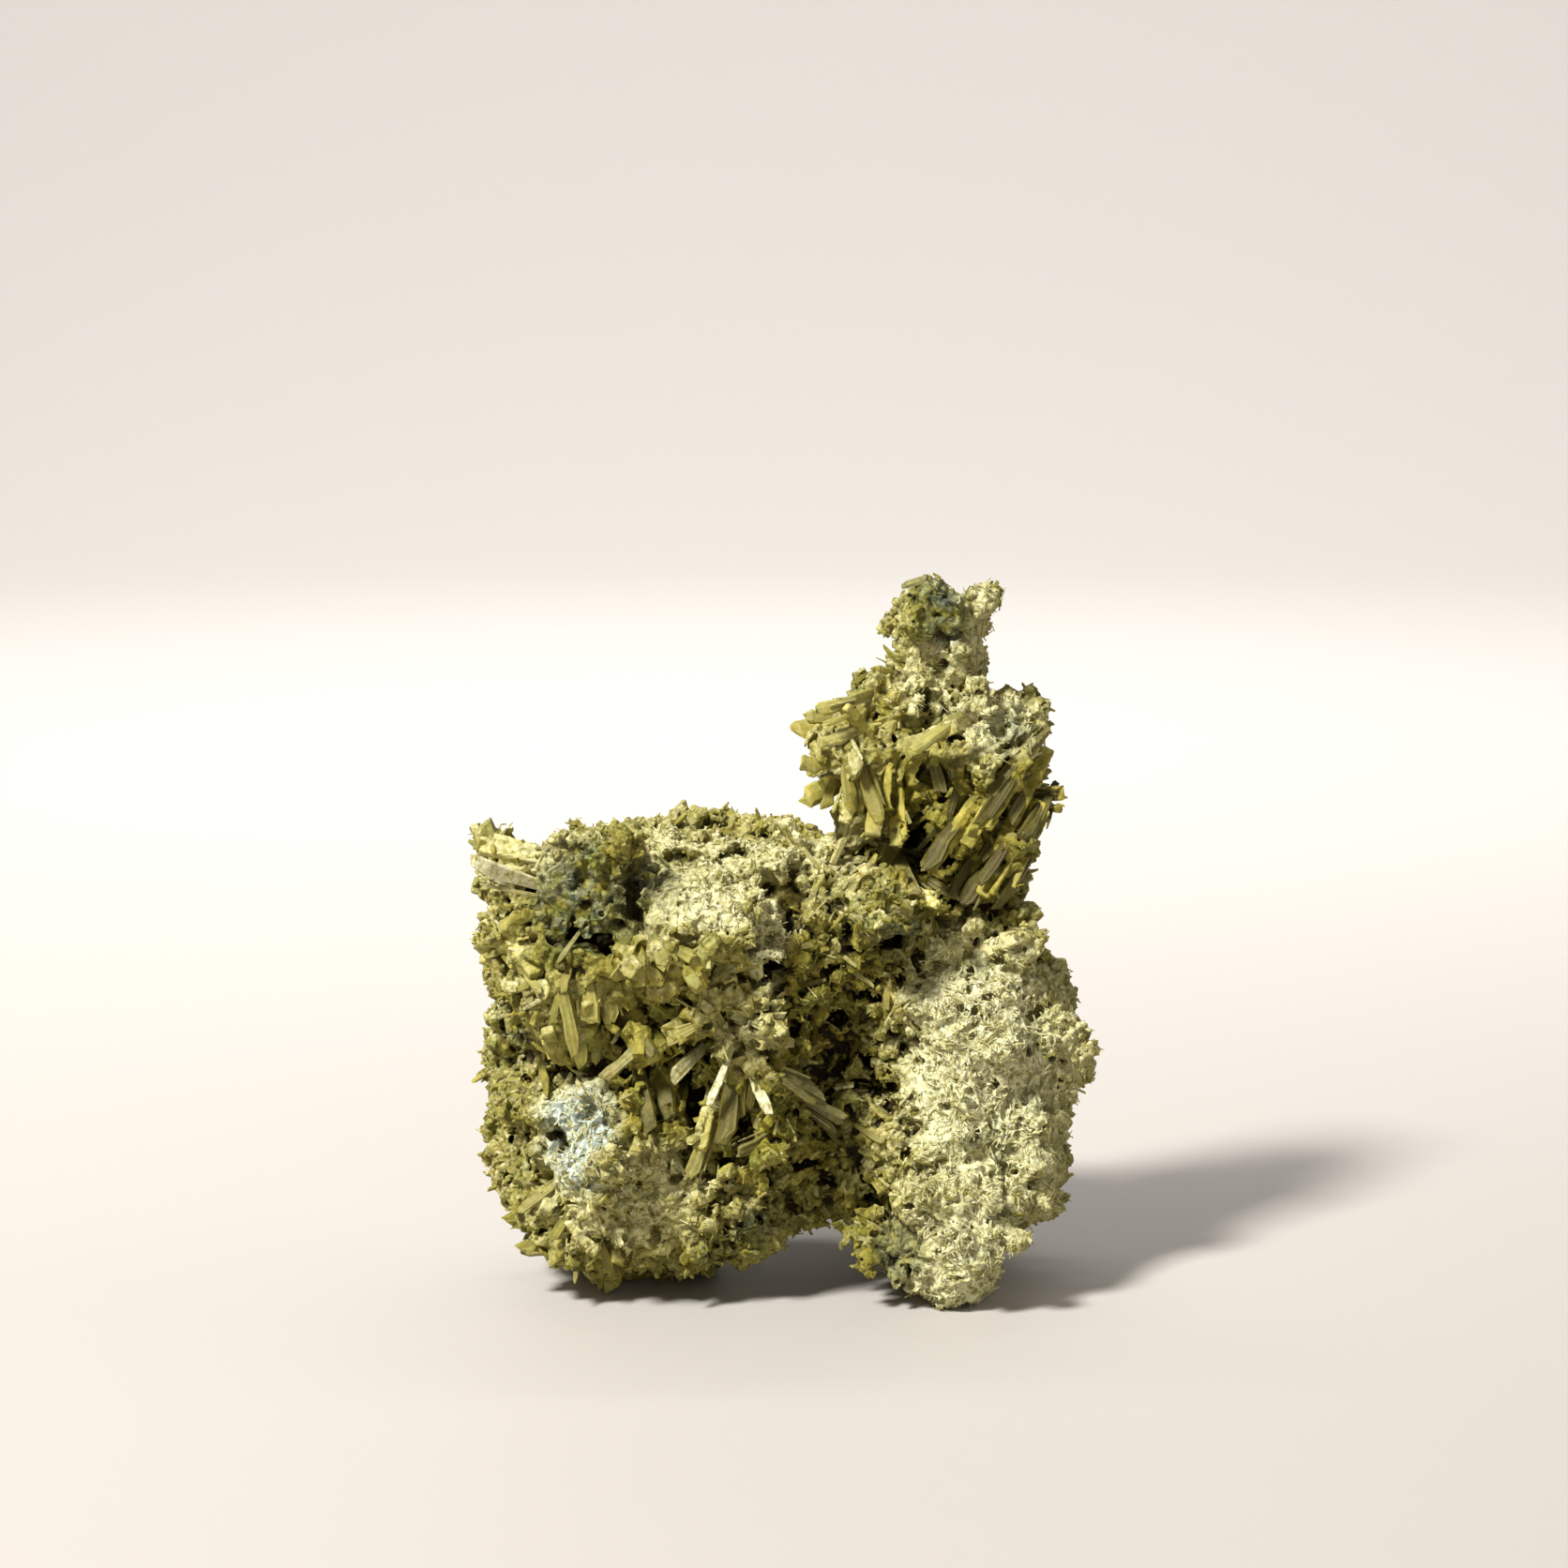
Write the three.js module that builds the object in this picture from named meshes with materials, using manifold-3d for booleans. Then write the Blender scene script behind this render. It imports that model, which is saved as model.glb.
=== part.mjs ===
// Epidote crystal cluster: one natural stone with a broad body, two feet with an arch
// between them, and a knobbly tower that rises on the right. Flat blades of epidote
// stand in fans in its hollows and along its edges.
//
// Millimetres, +Z up. The front faces -Y and the stone rests on Z = 0.

import * as THREE from 'three';
import { ImprovedNoise } from 'three/addons/math/ImprovedNoise.js';
import { mergeVertices } from 'three/addons/utils/BufferGeometryUtils.js';
import Module from 'manifold-3d';

const wasm = await Module();
wasm.setup();

// Driving dimensions
const CENTRE_X = 0.5;            // middle of the stone's box, taken off every place below
const CENTRE_Y = 3.5;
const BLADE_THICKNESS = 1.7;
const BLADE_WIDTH = 2.8;
const TIP_SHARE = 0.78;          // where a blade's sides stop and its chisel tip begins
const FOOT_SHARE = 0.3;          // where a fan's blades part from its root
const PIT_DEPTH = 2;             // a pit's depth and its cone's width and length, for
const PIT_WIDTH = 1.8;           // each millimetre of its size
const PIT_LENGTH = 4.5;
const KNOB_SINK = 0.35;          // share of a knob's size that is sunk in the crust
const GOLDEN_TURN = Math.PI * (3 - Math.sqrt(5));
const GOLDEN_SHARE = 0.618034;
const FLOOR_BLOCK = 200;         // side of the block that cuts the feet flat

// Swells of the crust: how far apart and how high its bumps are
const SWELLS = [
  { wavelength: 19, height: 3.2 },
  { wavelength: 8.5, height: 2.4 },
  { wavelength: 4.7, height: 2.0 },
];
const NOISE_START = new THREE.Vector3(7.3, 1.9, 4.1);

// Main masses: middle, half sizes, boxiness (1 is an ellipsoid, less is boxier), detail,
// the number of cuts along an edge of the starting icosahedron, and the share of the
// swells that the mass takes, which is all of them where it isn't given
const MASSES = {
  upperLeft: { at: [-20.5, -1, 43], size: [16.5, 16, 15], boxy: 0.7, detail: 3 },
  lowerLeft: { at: [-20, -1, 18.5], size: [17, 17, 16], boxy: 0.9, detail: 3 },
  centre: { at: [-3, 1, 33], size: [20, 15, 25], boxy: 0.85, detail: 2 },
  topRidge: { at: [-9, 6, 51.8], size: [14.5, 9, 7.3], boxy: 0.8, detail: 2 },
  backMass: { at: [-5, 12, 29], size: [27, 13, 22], boxy: 0.8, detail: 2 },
  rightLobe: { at: [20.5, 3, 26.5], size: [16.5, 17, 20.5], boxy: 0.8, detail: 3 },
  rightTop: { at: [17, 4, 43], size: [11.5, 13, 12], boxy: 0.8, detail: 1 },
  rightFoot: { at: [20.8, -8, 9.5], size: [7, 9.5, 13], boxy: 0.9, detail: 2 },
  backFoot: { at: [20, 15, 9], size: [9, 8, 12], boxy: 0.9, detail: 1 },
  leftFoot: { at: [-17, 4, 5], size: [9.5, 9, 8], boxy: 0.9, detail: 1 },
  towerBase: { at: [20, 3, 56], size: [10.5, 9.5, 11], boxy: 0.9, detail: 2 },
  towerRight: { at: [25, 1, 67.5], size: [9, 9, 7.5], boxy: 0.85, detail: 2 },
  towerLeft: { at: [12.5, 0, 67.5], size: [7.5, 7, 5.5], boxy: 0.9, detail: 1 },
  towerColumn: { at: [19, 2.5, 78.5], size: [4.9, 5, 12], boxy: 0.75, detail: 1 },
  towerKnob: { at: [23.1, 2, 86.5], size: [2.2, 3.4, 4], boxy: 0.9, detail: 1 },
  towerSlope: { at: [14.6, 1.5, 72.3], size: [5.2, 5.2, 5], boxy: 0.9, detail: 1 },
  towerCrown: { at: [17.2, 1, 85], size: [2.9, 3.6, 4], boxy: 0.9, detail: 1 },
};

// Lumps, ledges and ridges that stand out of the main masses
const LUMPS = {
  darkLump: { at: [-24.5, -12, 53.5], size: [6.5, 6.5, 7], boxy: 0.9, detail: 1 },
  slab: { at: [-11.5, -11, 49.5], size: [9.5, 8, 4.5], boxy: 0.65, detail: 1 },
  slabRidge: { at: [-2, -12.5, 47.5], size: [2.2, 4.5, 8], boxy: 0.8, detail: 1 },
  greyLump: { at: [12, -11, 50], size: [4.6, 4.5, 4], boxy: 0.9, detail: 1 },
  leftHorn: { at: [-34.5, -5, 54], size: [2.4, 4, 4], boxy: 0.9, detail: 1 },
  patchLedge: { at: [-25.5, -11.5, 26], size: [8, 6.5, 6], boxy: 0.95, detail: 1 },
  archRoof: { at: [6, 1, 13], size: [9, 9, 6.5], boxy: 0.85, detail: 1 },
  archLump: { at: [-4, -7, 11], size: [5, 5, 4.5], boxy: 0.9, detail: 1 },
  rimKnob: { at: [28, 3, 41.5], size: [4, 6, 5], boxy: 0.9, detail: 1 },
  rimSide: { at: [34, 0, 28], size: [3.5, 8, 8.5], boxy: 0.9, detail: 1 },
  rimFront: { at: [30.5, -9, 19], size: [4.5, 5, 10], boxy: 0.9, detail: 1 },
  centreRidge: { at: [-5, -12, 35], size: [5.5, 5, 9], boxy: 0.9, detail: 1 },
  lowCentre: { at: [-6, -10, 17], size: [6, 6, 6.5], boxy: 0.9, detail: 1 },
  backLedge: { at: [-18, 20, 46], size: [9, 6, 5], boxy: 0.8, detail: 1 },
  backRib: { at: [10, 21, 30], size: [5, 5, 14], boxy: 0.85, detail: 1 },
  backLow: { at: [-16, 17, 17], size: [9, 7, 8], boxy: 0.85, detail: 1 },
  sideLedge: { at: [-33, 5, 32], size: [4.5, 7, 6], boxy: 0.85, detail: 1 },
  towerHeel: { at: [10.5, 1.5, 59.5], size: [5, 6, 5.5], boxy: 0.9, detail: 1 },
};

// Hollows taken out of the masses
const HOLLOWS = {
  bladeHollow: { at: [-20, -21, 37], size: [10, 7.5, 6.5], boxy: 0.9, detail: 1 },
  starHollow: { at: [-13, -20, 26], size: [5.5, 8, 5], boxy: 0.9, detail: 1 },
  valley: { at: [6.5, -18, 29], size: [5.5, 11.5, 18], boxy: 0.9, detail: 1 },
  bowl: { at: [11, -33.5, 32], size: [19, 24, 24], boxy: 1, detail: 2 },
  towerCave: { at: [15, -11, 61.5], size: [4, 6.5, 5], boxy: 0.9, detail: 1 },
  notchLeft: { at: [-17.5, -13, 59.5], size: [3, 6, 5], boxy: 0.9, detail: 1 },
  arch: { at: [1.5, 0, 0], size: [10.2, 40, 6.2], boxy: 0.75, rough: 0.25, detail: 2 },
  backCave: { at: [-8, 27, 36], size: [9, 7, 9], boxy: 0.9, detail: 1 },
  backNook: { at: [21, 25, 26], size: [5.5, 7, 6], boxy: 0.9, detail: 0 },
  sideCave: { at: [40, 12, 34], size: [6, 6, 8], boxy: 0.9, detail: 0 },
  leftCave: { at: [-40, 12, 22], size: [6, 6, 7], boxy: 0.9, detail: 1 },
};

// Single blades: root, tip and width. Their broad faces look to the front.
const BLADES = {
  starPale: { from: [-6.7, -13, 35], to: [-9.4, -20, 28.2], width: 2.4 },
  starLong: { from: [-6.4, -11, 35], to: [-7.8, -19, 23], width: 3.2 },
  starWhite: { from: [-5.6, -13, 35], to: [-1.8, -20, 26.6], width: 2.6 },
  starLeft: { from: [-7.5, -12, 36], to: [-13.8, -19, 30.8], width: 3 },
  starHigh: { from: [-8, -12, 39], to: [-14.5, -18.5, 36], width: 3.4 },
  starLow: { from: [-8.4, -8, 29], to: [-10.6, -18, 21.4], width: 2.4 },
  starFoot: { from: [-9, -12, 21.5], to: [-1.6, -18, 23.4], width: 3 },
  starRight: { from: [-3.5, -11, 36], to: [2.8, -16.5, 29], width: 3 },
  starFar: { from: [-1, -9, 33], to: [7.8, -15.5, 25.2], width: 3.4 },
  plate: { from: [-23, -10, 43], to: [-16.4, -15.5, 31.5], width: 4.4 },
  bigFacet: { from: [-36, -7, 44], to: [-28, -16, 48.6], width: 5.5, thickness: 3.2 },
  ledgeBlade: { from: [-27, -11, 56], to: [-37.6, -12, 58.2], width: 3, thickness: 2 },
  horn: { from: [-35, -5, 53], to: [-37.4, -6, 59.6], width: 3, thickness: 2.4 },
  slabEdge: { from: [-1.5, -12, 56], to: [-1.8, -18, 41], width: 3.2, thickness: 2.4 },
  stalactite: { from: [-21, -6, 9], to: [-21.8, -6.5, 1.4], width: 3, thickness: 2.4 },
  leftPointHigh: { from: [-26, -5, 14], to: [-34.4, -8, 12.6], width: 3 },
  leftPointMid: { from: [-26, -5, 12], to: [-34, -9, 10], width: 3 },
  leftPointLow: { from: [-25, -5, 9], to: [-32, -8.5, 6.8], width: 3 },
  towerTipTop: { from: [13, -2, 68.5], to: [1.2, -4, 70.4], width: 3.6, thickness: 2.2 },
  towerTipMid: { from: [13, -2, 67], to: [1, -6, 67.6], width: 3.4, thickness: 2.2 },
  towerTipLow: { from: [13, -2, 66], to: [3, -7, 61.8], width: 3.4, thickness: 2.2 },
  towerHangLeft: { from: [9.5, -5, 68.5], to: [6, -9, 59.8], width: 3.2 },
  towerHangMid: { from: [11.5, -5, 67], to: [10.2, -10, 58.6], width: 3 },
  towerHangRight: { from: [13.5, -5, 64], to: [13.2, -9, 56.8], width: 2.6 },
  towerBright: { from: [13.5, -3, 67.5], to: [21.2, -11, 73], width: 3.2 },
  towerLongLow: { from: [29.5, -5, 58.4], to: [23.4, -11.5, 49.8], width: 4.2 },
  towerLongLeft: { from: [16, -3, 52.5], to: [22.4, -11, 62], width: 3.4 },
  towerLongMid: { from: [25, -5, 54], to: [31.2, -9, 63], width: 3.2 },
  towerLongHigh: { from: [20.6, -2, 57], to: [26, -11, 65], width: 2.8 },
  towerLongRight: { from: [27, -3, 59], to: [33.5, -6.5, 67], width: 3.2 },
  towerLongUp: { from: [23, -6, 62], to: [28, -11, 70], width: 2.8 },
  paleTopLeft: { from: [8.8, -9, 56.5], to: [14.2, -14, 52.8], width: 2.8 },
  paleTopRight: { from: [11, -9, 54], to: [19.8, -14.5, 51], width: 2.8 },
  rimSpike: { from: [33, 0, 28.5], to: [39.2, -1, 27.4], width: 3.4 },
};

// Fans: blades that spread out of one root, round an axis. The spread is in degrees.
const FANS = {
  leftFan: { root: [-26.5, -10, 29], axis: [-0.05, -0.42, 1], spread: 24, count: 6, length: 13 },
  underSlab: { root: [-12, -8, 50], axis: [0, -1, -0.75], spread: 42, count: 5, length: 13 },
  leftEdge: { root: [-29, -7, 40], axis: [-1, -0.8, 0.1], spread: 45, count: 4, length: 10 },
  lowCentre: { root: [-6, -9, 16], axis: [0.2, -1, 0], spread: 50, count: 5, length: 9.5 },
  towerTips: { root: [13, -1, 67], axis: [-1, -0.25, 0.3], spread: 44, count: 5, length: 11 },
  towerRight: { root: [25, 1, 62], axis: [1, -0.3, 0.7], spread: 35, count: 4, length: 12 },
  valleyFan: { root: [2, -6, 42], axis: [0.5, -1, -0.1], spread: 50, count: 3, length: 9 },
  topFront: { root: [3, -3, 53], axis: [0.1, -0.8, 1], spread: 48, count: 3, length: 8.5 },
  topBack: { root: [-8, 8, 50], axis: [0, 0.8, 1], spread: 60, count: 5, length: 9.5 },
  rimFan: { root: [23, -3, 42], axis: [1, -0.6, 0.2], spread: 40, count: 4, length: 10.5 },
  rightSide: { root: [31, 8, 22], axis: [1, 0.3, 0], spread: 50, count: 4, length: 9 },
  caveFan: { root: [-8, 14, 36], axis: [0, 1, 0.1], spread: 52, count: 5, length: 13 },
  backTop: { root: [-22, 12, 48], axis: [-0.4, 0.8, 0.6], spread: 45, count: 5, length: 10 },
  backLeft: { root: [-26, 10, 28], axis: [-0.8, 0.8, 0], spread: 50, count: 4, length: 11.5 },
  backLow: { root: [4, 16, 16], axis: [-0.1, 1, -0.3], spread: 50, count: 4, length: 10.5 },
  backRight: { root: [22, 12, 42], axis: [0.5, 1, 0.3], spread: 50, count: 4, length: 12 },
  towerBack: { root: [17, 4, 66], axis: [-0.4, 1, 0.2], spread: 48, count: 4, length: 10.5 },
  leftSide: { root: [-30, 2, 26], axis: [-1, 0, 0], spread: 50, count: 4, length: 10 },
};

// Pits of the pale porous crust, in a spiral that looks one way from the middle of a
// mass, or of the hollow whose wall they pierce
const PITS = [
  { wall: HOLLOWS.bowl, look: [0.3, 1, 0], spread: 36, count: 7, size: 1.6 },
  { mass: MASSES.lowerLeft, look: [-0.2, -1, -0.1], spread: 40, count: 4, size: 1.6 },
];

// Small knobs on the crust, in the same spirals, each a rough little lump
const KNOBS = [
  { mass: MASSES.upperLeft, look: [-0.9, -0.3, 0.3], spread: 70, count: 5, size: 3 },
  { mass: MASSES.lowerLeft, look: [-0.5, -0.8, -0.2], spread: 70, count: 5, size: 3 },
  { mass: MASSES.rightLobe, look: [1, -0.1, 0.7], spread: 50, count: 3, size: 2.8 },
  { mass: MASSES.backMass, look: [0, 1, 0], spread: 70, count: 4, size: 3.4 },
];

const noise = new ImprovedNoise();
const up = new THREE.Vector3(0, 0, 1);
const front = new THREE.Vector3(0, -1, 0.25).normalize();

function vector([x, y, z]) {
  return new THREE.Vector3(x, y, z);
}

// How far the crust stands out of its smooth mass at a point
function swell(point) {
  let height = 0;
  for (const wave of SWELLS) {
    const place = point.clone().divideScalar(wave.wavelength).add(NOISE_START);
    height += wave.height * noise.noise(place.x, place.y, place.z);
  }
  return height;
}

// The point of a mass's rough surface in a direction from its middle
function surfacePoint(mass, direction) {
  const bend = (value) => Math.sign(value) * Math.abs(value) ** mass.boxy;
  const reach = new THREE.Vector3(bend(direction.x), bend(direction.y), bend(direction.z));
  const smooth = reach.multiply(vector(mass.size)).add(vector(mass.at));
  return smooth.addScaledVector(direction, (mass.rough ?? 1) * swell(smooth));
}

// Two directions square to an axis
function squareTo(axis) {
  const helper = Math.abs(axis.z) > 0.9 ? new THREE.Vector3(1, 0, 0) : up;
  const first = new THREE.Vector3().crossVectors(helper, axis).normalize();
  return [first, new THREE.Vector3().crossVectors(axis, first)];
}

// Directions that fill a cone evenly: a golden spiral round its axis
function spiral({ axis, spread, count }) {
  const middle = vector(axis).normalize();
  const [first, second] = squareTo(middle);
  const directions = [];
  for (let i = 0; i < count; i += 1) {
    const lean = THREE.MathUtils.degToRad(spread) * Math.sqrt((i + 0.5) / count);
    const turn = i * GOLDEN_TURN;
    directions.push(middle.clone().multiplyScalar(Math.cos(lean))
      .addScaledVector(first, Math.sin(lean) * Math.cos(turn))
      .addScaledVector(second, Math.sin(lean) * Math.sin(turn)));
  }
  return directions;
}

// A closed geometry as a solid for joining and cutting
function solid(geometry) {
  const plain = geometry.clone();
  plain.deleteAttribute('normal');
  plain.deleteAttribute('uv');
  const merged = mergeVertices(plain, 1e-4);
  return new wasm.Manifold(new wasm.Mesh({
    numProp: 3,
    vertProperties: new Float32Array(merged.attributes.position.array),
    triVerts: new Uint32Array(merged.index.array),
  }));
}

// A rough boulder: an icosahedron swollen to the mass's surface
function boulder(mass) {
  const geometry = new THREE.IcosahedronGeometry(1, mass.detail);
  const places = geometry.attributes.position;
  for (let i = 0; i < places.count; i += 1) {
    const direction = new THREE.Vector3().fromBufferAttribute(places, i).normalize();
    const point = surfacePoint(mass, direction);
    places.setXYZ(i, point.x, point.y, point.z);
  }
  return solid(geometry);
}

// A tabular crystal: a flat prism with a chisel tip, of two facets or of one slanted one
function blade({ from, to, width, thickness = BLADE_THICKNESS, face = front, facets = 2 }) {
  const root = vector(from);
  const along = vector(to).sub(root);
  const length = along.length();
  along.normalize();
  const across = new THREE.Vector3().crossVectors(along, face).normalize();
  const normal = new THREE.Vector3().crossVectors(across, along);
  const outline = new THREE.Shape([
    new THREE.Vector2(-0.4 * width, 0),
    new THREE.Vector2(0.4 * width, 0),
    new THREE.Vector2(0.5 * width, TIP_SHARE * length),
    ...(facets === 2 ? [new THREE.Vector2(0.12 * width, length)] : []),
    new THREE.Vector2(-0.5 * width, (facets === 2 ? TIP_SHARE + 0.08 : 1) * length),
  ]);
  const geometry = new THREE.ExtrudeGeometry(outline, { depth: thickness, bevelEnabled: false });
  geometry.translate(0, 0, -thickness / 2);
  geometry.applyMatrix4(new THREE.Matrix4().makeBasis(across, along, normal).setPosition(root));
  return solid(geometry);
}

// The blades of a fan: their lengths and the turn of their broad faces change by steps
function fan({ root, axis, spread, count, length }) {
  const start = vector(root);
  return spiral({ axis, spread, count }).map((direction, i) => {
    const step = (i * GOLDEN_SHARE) % 1;
    const reach = length * (0.78 + 0.34 * step);
    const [first, second] = squareTo(direction);
    const turn = i * GOLDEN_TURN * 2;
    const face = first.multiplyScalar(Math.cos(turn)).addScaledVector(second, Math.sin(turn));
    const foot = start.clone().addScaledVector(direction, FOOT_SHARE * length);
    const tip = start.clone().addScaledVector(direction, reach);
    const width = BLADE_WIDTH * (0.85 + 0.4 * step);
    return blade({ from: foot.toArray(), to: tip.toArray(), width, face, facets: 1 });
  });
}

// A pit: a four-sided spike that points into the crust, against the outward direction
function pit(place, outward, size) {
  const length = PIT_LENGTH * size;
  const geometry = new THREE.ConeGeometry(PIT_WIDTH * size, length, 4);
  geometry.rotateX(Math.PI);
  geometry.translate(0, length / 2 - PIT_DEPTH * size, 0);
  const yAxis = new THREE.Vector3(0, 1, 0);
  geometry.applyQuaternion(new THREE.Quaternion().setFromUnitVectors(yAxis, outward));
  geometry.translate(place.x, place.y, place.z);
  return solid(geometry);
}

// A knob: a small rough lump half sunk in the crust
function knob(place, outward, size) {
  const middle = place.clone().addScaledVector(outward, -KNOB_SINK * size);
  const reach = [size, size, 0.9 * size];
  return boulder({ at: middle.toArray(), size: reach, boxy: 0.9, detail: 0 });
}

function joined(pieces) {
  return pieces.reduce((whole, piece) => whole.add(piece));
}

function knobs({ mass, look, spread, count, size }) {
  return spiral({ axis: look, spread, count }).map((direction, i) => (
    knob(surfacePoint(mass, direction), direction, size * (0.75 + 0.5 * ((i * GOLDEN_SHARE) % 1)))
  ));
}

function pits({ mass, wall, look, spread, count, size }) {
  return spiral({ axis: look, spread, count }).map((direction) => {
    const outward = mass ? direction : direction.clone().negate();
    return pit(surfacePoint(mass ?? wall, direction), outward, size);
  });
}

function crystals() {
  return joined([
    ...Object.values(BLADES).map(blade),
    ...Object.values(FANS).flatMap(fan),
  ]);
}

// Everything under the floor plane, to cut the feet flat
function floorBlock() {
  const geometry = new THREE.BoxGeometry(FLOOR_BLOCK, FLOOR_BLOCK, FLOOR_BLOCK);
  geometry.translate(0, 0, -FLOOR_BLOCK / 2);
  return solid(geometry);
}

function meshOf(shape, name, material) {
  const { vertProperties, triVerts } = shape.getMesh();
  const geometry = new THREE.BufferGeometry();
  geometry.setAttribute('position', new THREE.BufferAttribute(vertProperties, 3));
  geometry.setIndex(new THREE.BufferAttribute(triVerts, 1));
  geometry.translate(-CENTRE_X, -CENTRE_Y, 0);
  geometry.computeVertexNormals();
  const mesh = new THREE.Mesh(geometry, material);
  mesh.name = name;
  return mesh;
}

const epidote = new THREE.MeshStandardMaterial({
  color: '#8f8f45',
  roughness: 0.6,
  metalness: 0,
  flatShading: true,
});

const stone = joined([...Object.values(MASSES), ...Object.values(LUMPS)].map(boulder))
  .add(joined(KNOBS.flatMap(knobs)))
  .subtract(joined(Object.values(HOLLOWS).map(boulder)))
  .add(crystals())
  .subtract(joined(PITS.flatMap(pits)))
  .subtract(floorBlock());

const group = new THREE.Group();
group.add(meshOf(stone, 'epidote_cluster', epidote));

export default group;
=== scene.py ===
"""Epidote crystal cluster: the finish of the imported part, with its light, floor and camera.

The crust is the part's own solid, roughened as a level set, with its blades taken off.
The blades are then grown again on it as sharp crystals, with smaller ones between them.
Lengths are millimetres in the drawing's own frame until a mesh is made.
"""

import math

import bmesh
import bpy
import numpy as np
import openvdb
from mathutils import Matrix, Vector


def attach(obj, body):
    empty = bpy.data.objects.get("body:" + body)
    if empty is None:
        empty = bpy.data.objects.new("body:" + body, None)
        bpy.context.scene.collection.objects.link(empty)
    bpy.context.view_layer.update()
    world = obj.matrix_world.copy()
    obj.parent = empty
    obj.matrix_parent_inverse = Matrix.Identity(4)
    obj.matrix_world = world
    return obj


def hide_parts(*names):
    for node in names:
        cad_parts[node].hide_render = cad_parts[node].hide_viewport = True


MM = 0.001
NODE = "epidote_cluster"

# Where the part's own origin lies in the drawing.
CENTRE = np.array((0.5, 3.5, 0.0))

# The level set: its cells, how far it knows distances, what is worn off blades, and the room round it.
VOXEL = 0.27
BAND = 4.0
BLADE_ROUNDING = 1.0
MARGIN = 3.2

# How many places are tried for each kind of crystal and of hole, and the sprays of the small crystals.
CLUSTERS = 1200
GRAINS = 26000
FACETS = 8000
SMALL_CRYSTALS = 160000
SPRAYS = 700
CAVES = 320
HOLES = 6000

# The crust's triangles, the height where the tower is cut off it, and each other piece's left and right end.
CRUST_FACES = 540000
TOWER_CUT = 58
SLICES = {
    "crust_left": (None, -20),
    "crust_star": (-20, -3),
    "crust_middle": (-3, 14),
    "crust_right": (14, None),
}

# The front view: how sight lines fall with depth, how far off the eye is, and the height in its middle.
VIEW_FALL = 0.158
VIEW_REACH = 503
VIEW_HEIGHT = 44
FRONT = np.array((0, -1, 0.25)) / math.hypot(1, 0.25)

GOLDEN_TURN = math.pi * (3 - math.sqrt(5))
GOLDEN_SHARE = 0.618034

# Places of what the surface shows: centre, half sizes, strength. They are pale dust with fine pores,
# grey-green rock, blue-white rock, small blades, thin parts without blocks or caves, clear facets,
# a felt of needles, and places of painted shade, whose colour is darker where shade falls.
PALE = [
    ((24, -12, 30), (10.5, 14, 18), 1),
    ((21.5, -13, 8), (9, 10, 11), 1),
    ((31, -6, 24), (9, 14, 16), 0.55),
    ((-11, -14, 50.5), (10, 7, 4.5), 1),
    ((-2, -16, 48), (2.6, 5, 9), 0.9),
    ((-25.5, -16, 23), (6, 6, 8), 0.9),
    ((24.5, -2, 84), (2.4, 6, 7), 0.6),
    ((28, -3, 72), (7, 7, 4.2), 0.8),
    ((-20, -17, 15), (12, 8, 8), 0.4),
    ((-5, -17, 35), (5, 5, 5), 0.3),
    # Painted highlight: the lit upper left of the grey-green lump, made paler.
    ((-28.5, -16, 56), (3, 6, 3.4), 0.4),
    ((-24, -2, 60), (9, 8, 4), 0.5),
    ((-3, -8, 57.5), (17, 8, 4.2), 0.45),
    ((18.5, -4, 77), (5, 6, 6), 0.55),
]
GREEN = [
    ((-24.5, -16, 53), (7.5, 8, 8), 1),
    ((-16, -16, 53.5), (4.5, 5, 4), 0.8),
    ((-34.5, -8, 34), (3, 5, 5), 0.6),
    ((14.4, -12, 7.8), (3.6, 8, 4.8), 1),
    ((13.9, -14, 46.9), (4, 6, 4), 1),
    ((18.4, -2, 86.8), (3.2, 7, 4.6), 1),
    ((28.5, -5, 71.5), (3.6, 4, 3.6), 0.9),
    ((-3.8, -15, 10.5), (3.2, 4, 3), 0.8),
]
BLUE = [
    ((-25.5, -16, 22.5), (5.5, 6, 7), 0.9),
    ((-34, -8, 33), (3, 5, 5), 0.4),
    ((19.8, -3, 85.6), (2.4, 5, 4), 0.7),
    ((28, -5, 72), (3, 4, 3), 0.25),
    ((9.3, -15, 47.2), (1.8, 5, 2), 0.9),
]
BLADED = [
    ((-22, -15, 40), (15, 9, 12), 1),
    ((-6, -16, 29), (10, 7, 11), 1),
    ((16, -5, 63), (14, 9, 9), 1),
    ((28, -5, 60), (8, 9, 10), 1),
    ((5, -12, 52), (9, 7, 5), 0.8),
    ((-30, -8, 11), (8, 7, 6), 0.7),
    ((-18, -10, 5), (12, 9, 5), 0.3),
]
SLENDER = [
    ((19.5, -1, 84), (8, 8, 11), 1),
    ((22, -12, 5), (8, 8, 9), 1),
]
FACETED = [
    ((-11, -17, 44), (9, 7, 5), 1),
    ((-33, -11, 46), (5, 7, 5), 0.8),
    ((-24, -14, 36), (6, 7, 7), 0.7),
    ((-15, -15, 33), (5, 6, 6), 0.6),
    ((-30, -8, 10), (7, 7, 6), 0.7),
    ((15, -4, 66), (13, 8, 8), 0.7),
    ((27, -5, 60), (7, 8, 9), 0.7),
]
FELT = [
    ((8, -15, 30), (8, 9, 18), 1),
    ((2, -13, 44), (9, 6, 8), 0.8),
    ((22, -14, 26), (14, 12, 18), 0.5),
    ((-9, -14, 14), (8, 6, 8), 0.4),
]
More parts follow.
